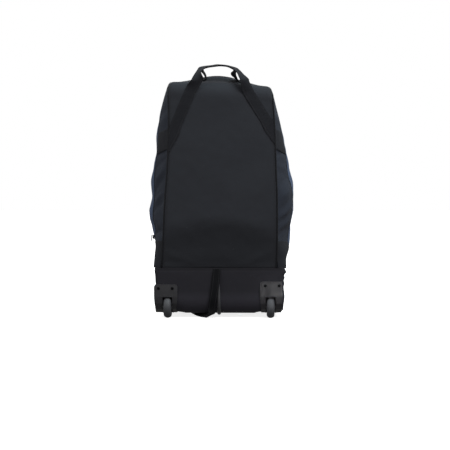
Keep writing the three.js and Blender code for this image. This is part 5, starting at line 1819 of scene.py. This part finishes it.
class BAG_OT_stage(bpy.types.Operator):
    """A plain pale floor, soft light and a camera behind the bag"""
    bl_idname = "travelbag.stage"
    bl_label = "Stage"

    def execute(self, context):
        scene = context.scene
        scene.view_settings.view_transform = "Standard"
        self.floor()
        for light in LIGHTS:
            self.light(*light)
        self.room(scene)
        self.camera(scene)
        return {"FINISHED"}

    @staticmethod
    def room(scene):
        """White behind the bag; what lights the bag is pale overhead and dim from below."""
        world = bpy.data.worlds.new("Studio")
        world.use_nodes = True
        tree = world.node_tree
        background = tree.nodes["Background"]
        way = tree.nodes.new("ShaderNodeTexCoord").outputs["Generated"]
        up = node(tree, "ShaderNodeSeparateXYZ", {0: way}).outputs[2]
        glow = spread(tree, up, -0.4, 0.6, 0.18, 0.80)
        seen = tree.nodes.new("ShaderNodeLightPath").outputs["Is Camera Ray"]
        tree.links.new(calc(tree, "MAXIMUM", seen, glow), background.inputs["Strength"])
        background.inputs["Color"].default_value = (*WHITE, 1.0)
        scene.world = world

    @staticmethod
    def floor():
        bm = bmesh.new()
        bmesh.ops.create_grid(bm, x_segments=4, y_segments=4, size=30.0)
        bmesh.ops.translate(bm, verts=bm.verts, vec=(0, 0, -0.0005))
        material, tree, shader, where = new_finish("Pale floor")
        tone = use(tree, uneven_dye_and_painted_shade(), Vector=where, Colour=(0.88, 0.88, 0.88, 1.0), Amount=0.02, Shade=1.0)
        tree.links.new(tone["Colour"], shader.inputs["Base Color"])
        set_shader(shader, roughness=0.9, emission_strength=0.8)
        shader.inputs["Emission Color"].default_value = (*WHITE, 1.0)
        floor = new_piece("floor", bm, material)
        floor.visible_diffuse = False
        floor.visible_glossy = False

    @staticmethod
    def light(name, at, towards, size, power, angle, colour):
        data = bpy.data.lights.new(name, "AREA")
        data.shape = "DISK"
        data.size = size
        data.energy = power
        data.color = colour
        data.spread = math.radians(angle)
        lamp = bpy.data.objects.new(name, data)
        lamp.location = at
        lamp.rotation_euler = (Vector(towards) - Vector(at)).to_track_quat("-Z", "Y").to_euler()
        bpy.context.scene.collection.objects.link(lamp)

    @staticmethod
    def camera(scene):
        """Looks at the bag's back from a little to the right and a little above."""
        aim, height = CAMERA_AIM, CAMERA_HEIGHT
        level = math.sqrt(CAMERA_DISTANCE ** 2 - (height - aim.z) ** 2)
        right, back = level * math.sin(CAMERA_AZIMUTH), level * math.cos(CAMERA_AZIMUTH)
        at = Vector((aim.x + right, aim.y - back, height))
        data = bpy.data.cameras.new("Camera")
        data.sensor_width = SENSOR
        data.lens = SENSOR * CAMERA_DISTANCE / VIEW_WIDTH
        camera = bpy.data.objects.new("Camera", data)
        camera.location = at
        camera.rotation_euler = (aim - at).to_track_quat("-Z", "Y").to_euler()
        scene.collection.objects.link(camera)
        scene.camera = camera


class BAG_PT_pieces(bpy.types.Panel):
    """Lists the steps that build the bag, with its colours and sizes"""
    bl_label = "Travel Bag"
    bl_idname = "BAG_PT_pieces"
    bl_space_type = "VIEW_3D"
    bl_region_type = "UI"
    bl_category = "Travel Bag"

    def draw(self, context):
        for step in STEPS:
            self.layout.operator(step.bl_idname)
        for group in (context.scene.bag_colours, context.scene.bag_sizes):
            box = self.layout.box()
            for name in group.__annotations__:
                box.prop(group, name)


STEPS = (
    BAG_OT_stage, BAG_OT_back_panel, BAG_OT_side_panels, BAG_OT_side_bands, BAG_OT_front, BAG_OT_piping,
    BAG_OT_zip, BAG_OT_handle, BAG_OT_base, BAG_OT_grab_strap, BAG_OT_skid_rail, BAG_OT_brackets,
    BAG_OT_wheels, BAG_OT_feet,
)
CLASSES = (BagColours, BagSizes, *STEPS, BAG_PT_pieces)


def register():
    for each in CLASSES:
        bpy.utils.register_class(each)
    bpy.types.Scene.bag_colours = PointerProperty(type=BagColours)
    bpy.types.Scene.bag_sizes = PointerProperty(type=BagSizes)


def unregister():
    del bpy.types.Scene.bag_sizes
    del bpy.types.Scene.bag_colours
    for each in reversed(CLASSES):
        bpy.utils.unregister_class(each)


def main():
    register()
    for step in STEPS:
        group, name = step.bl_idname.split(".")
        getattr(getattr(bpy.ops, group), name)()


if __name__ == "__main__":
    main()
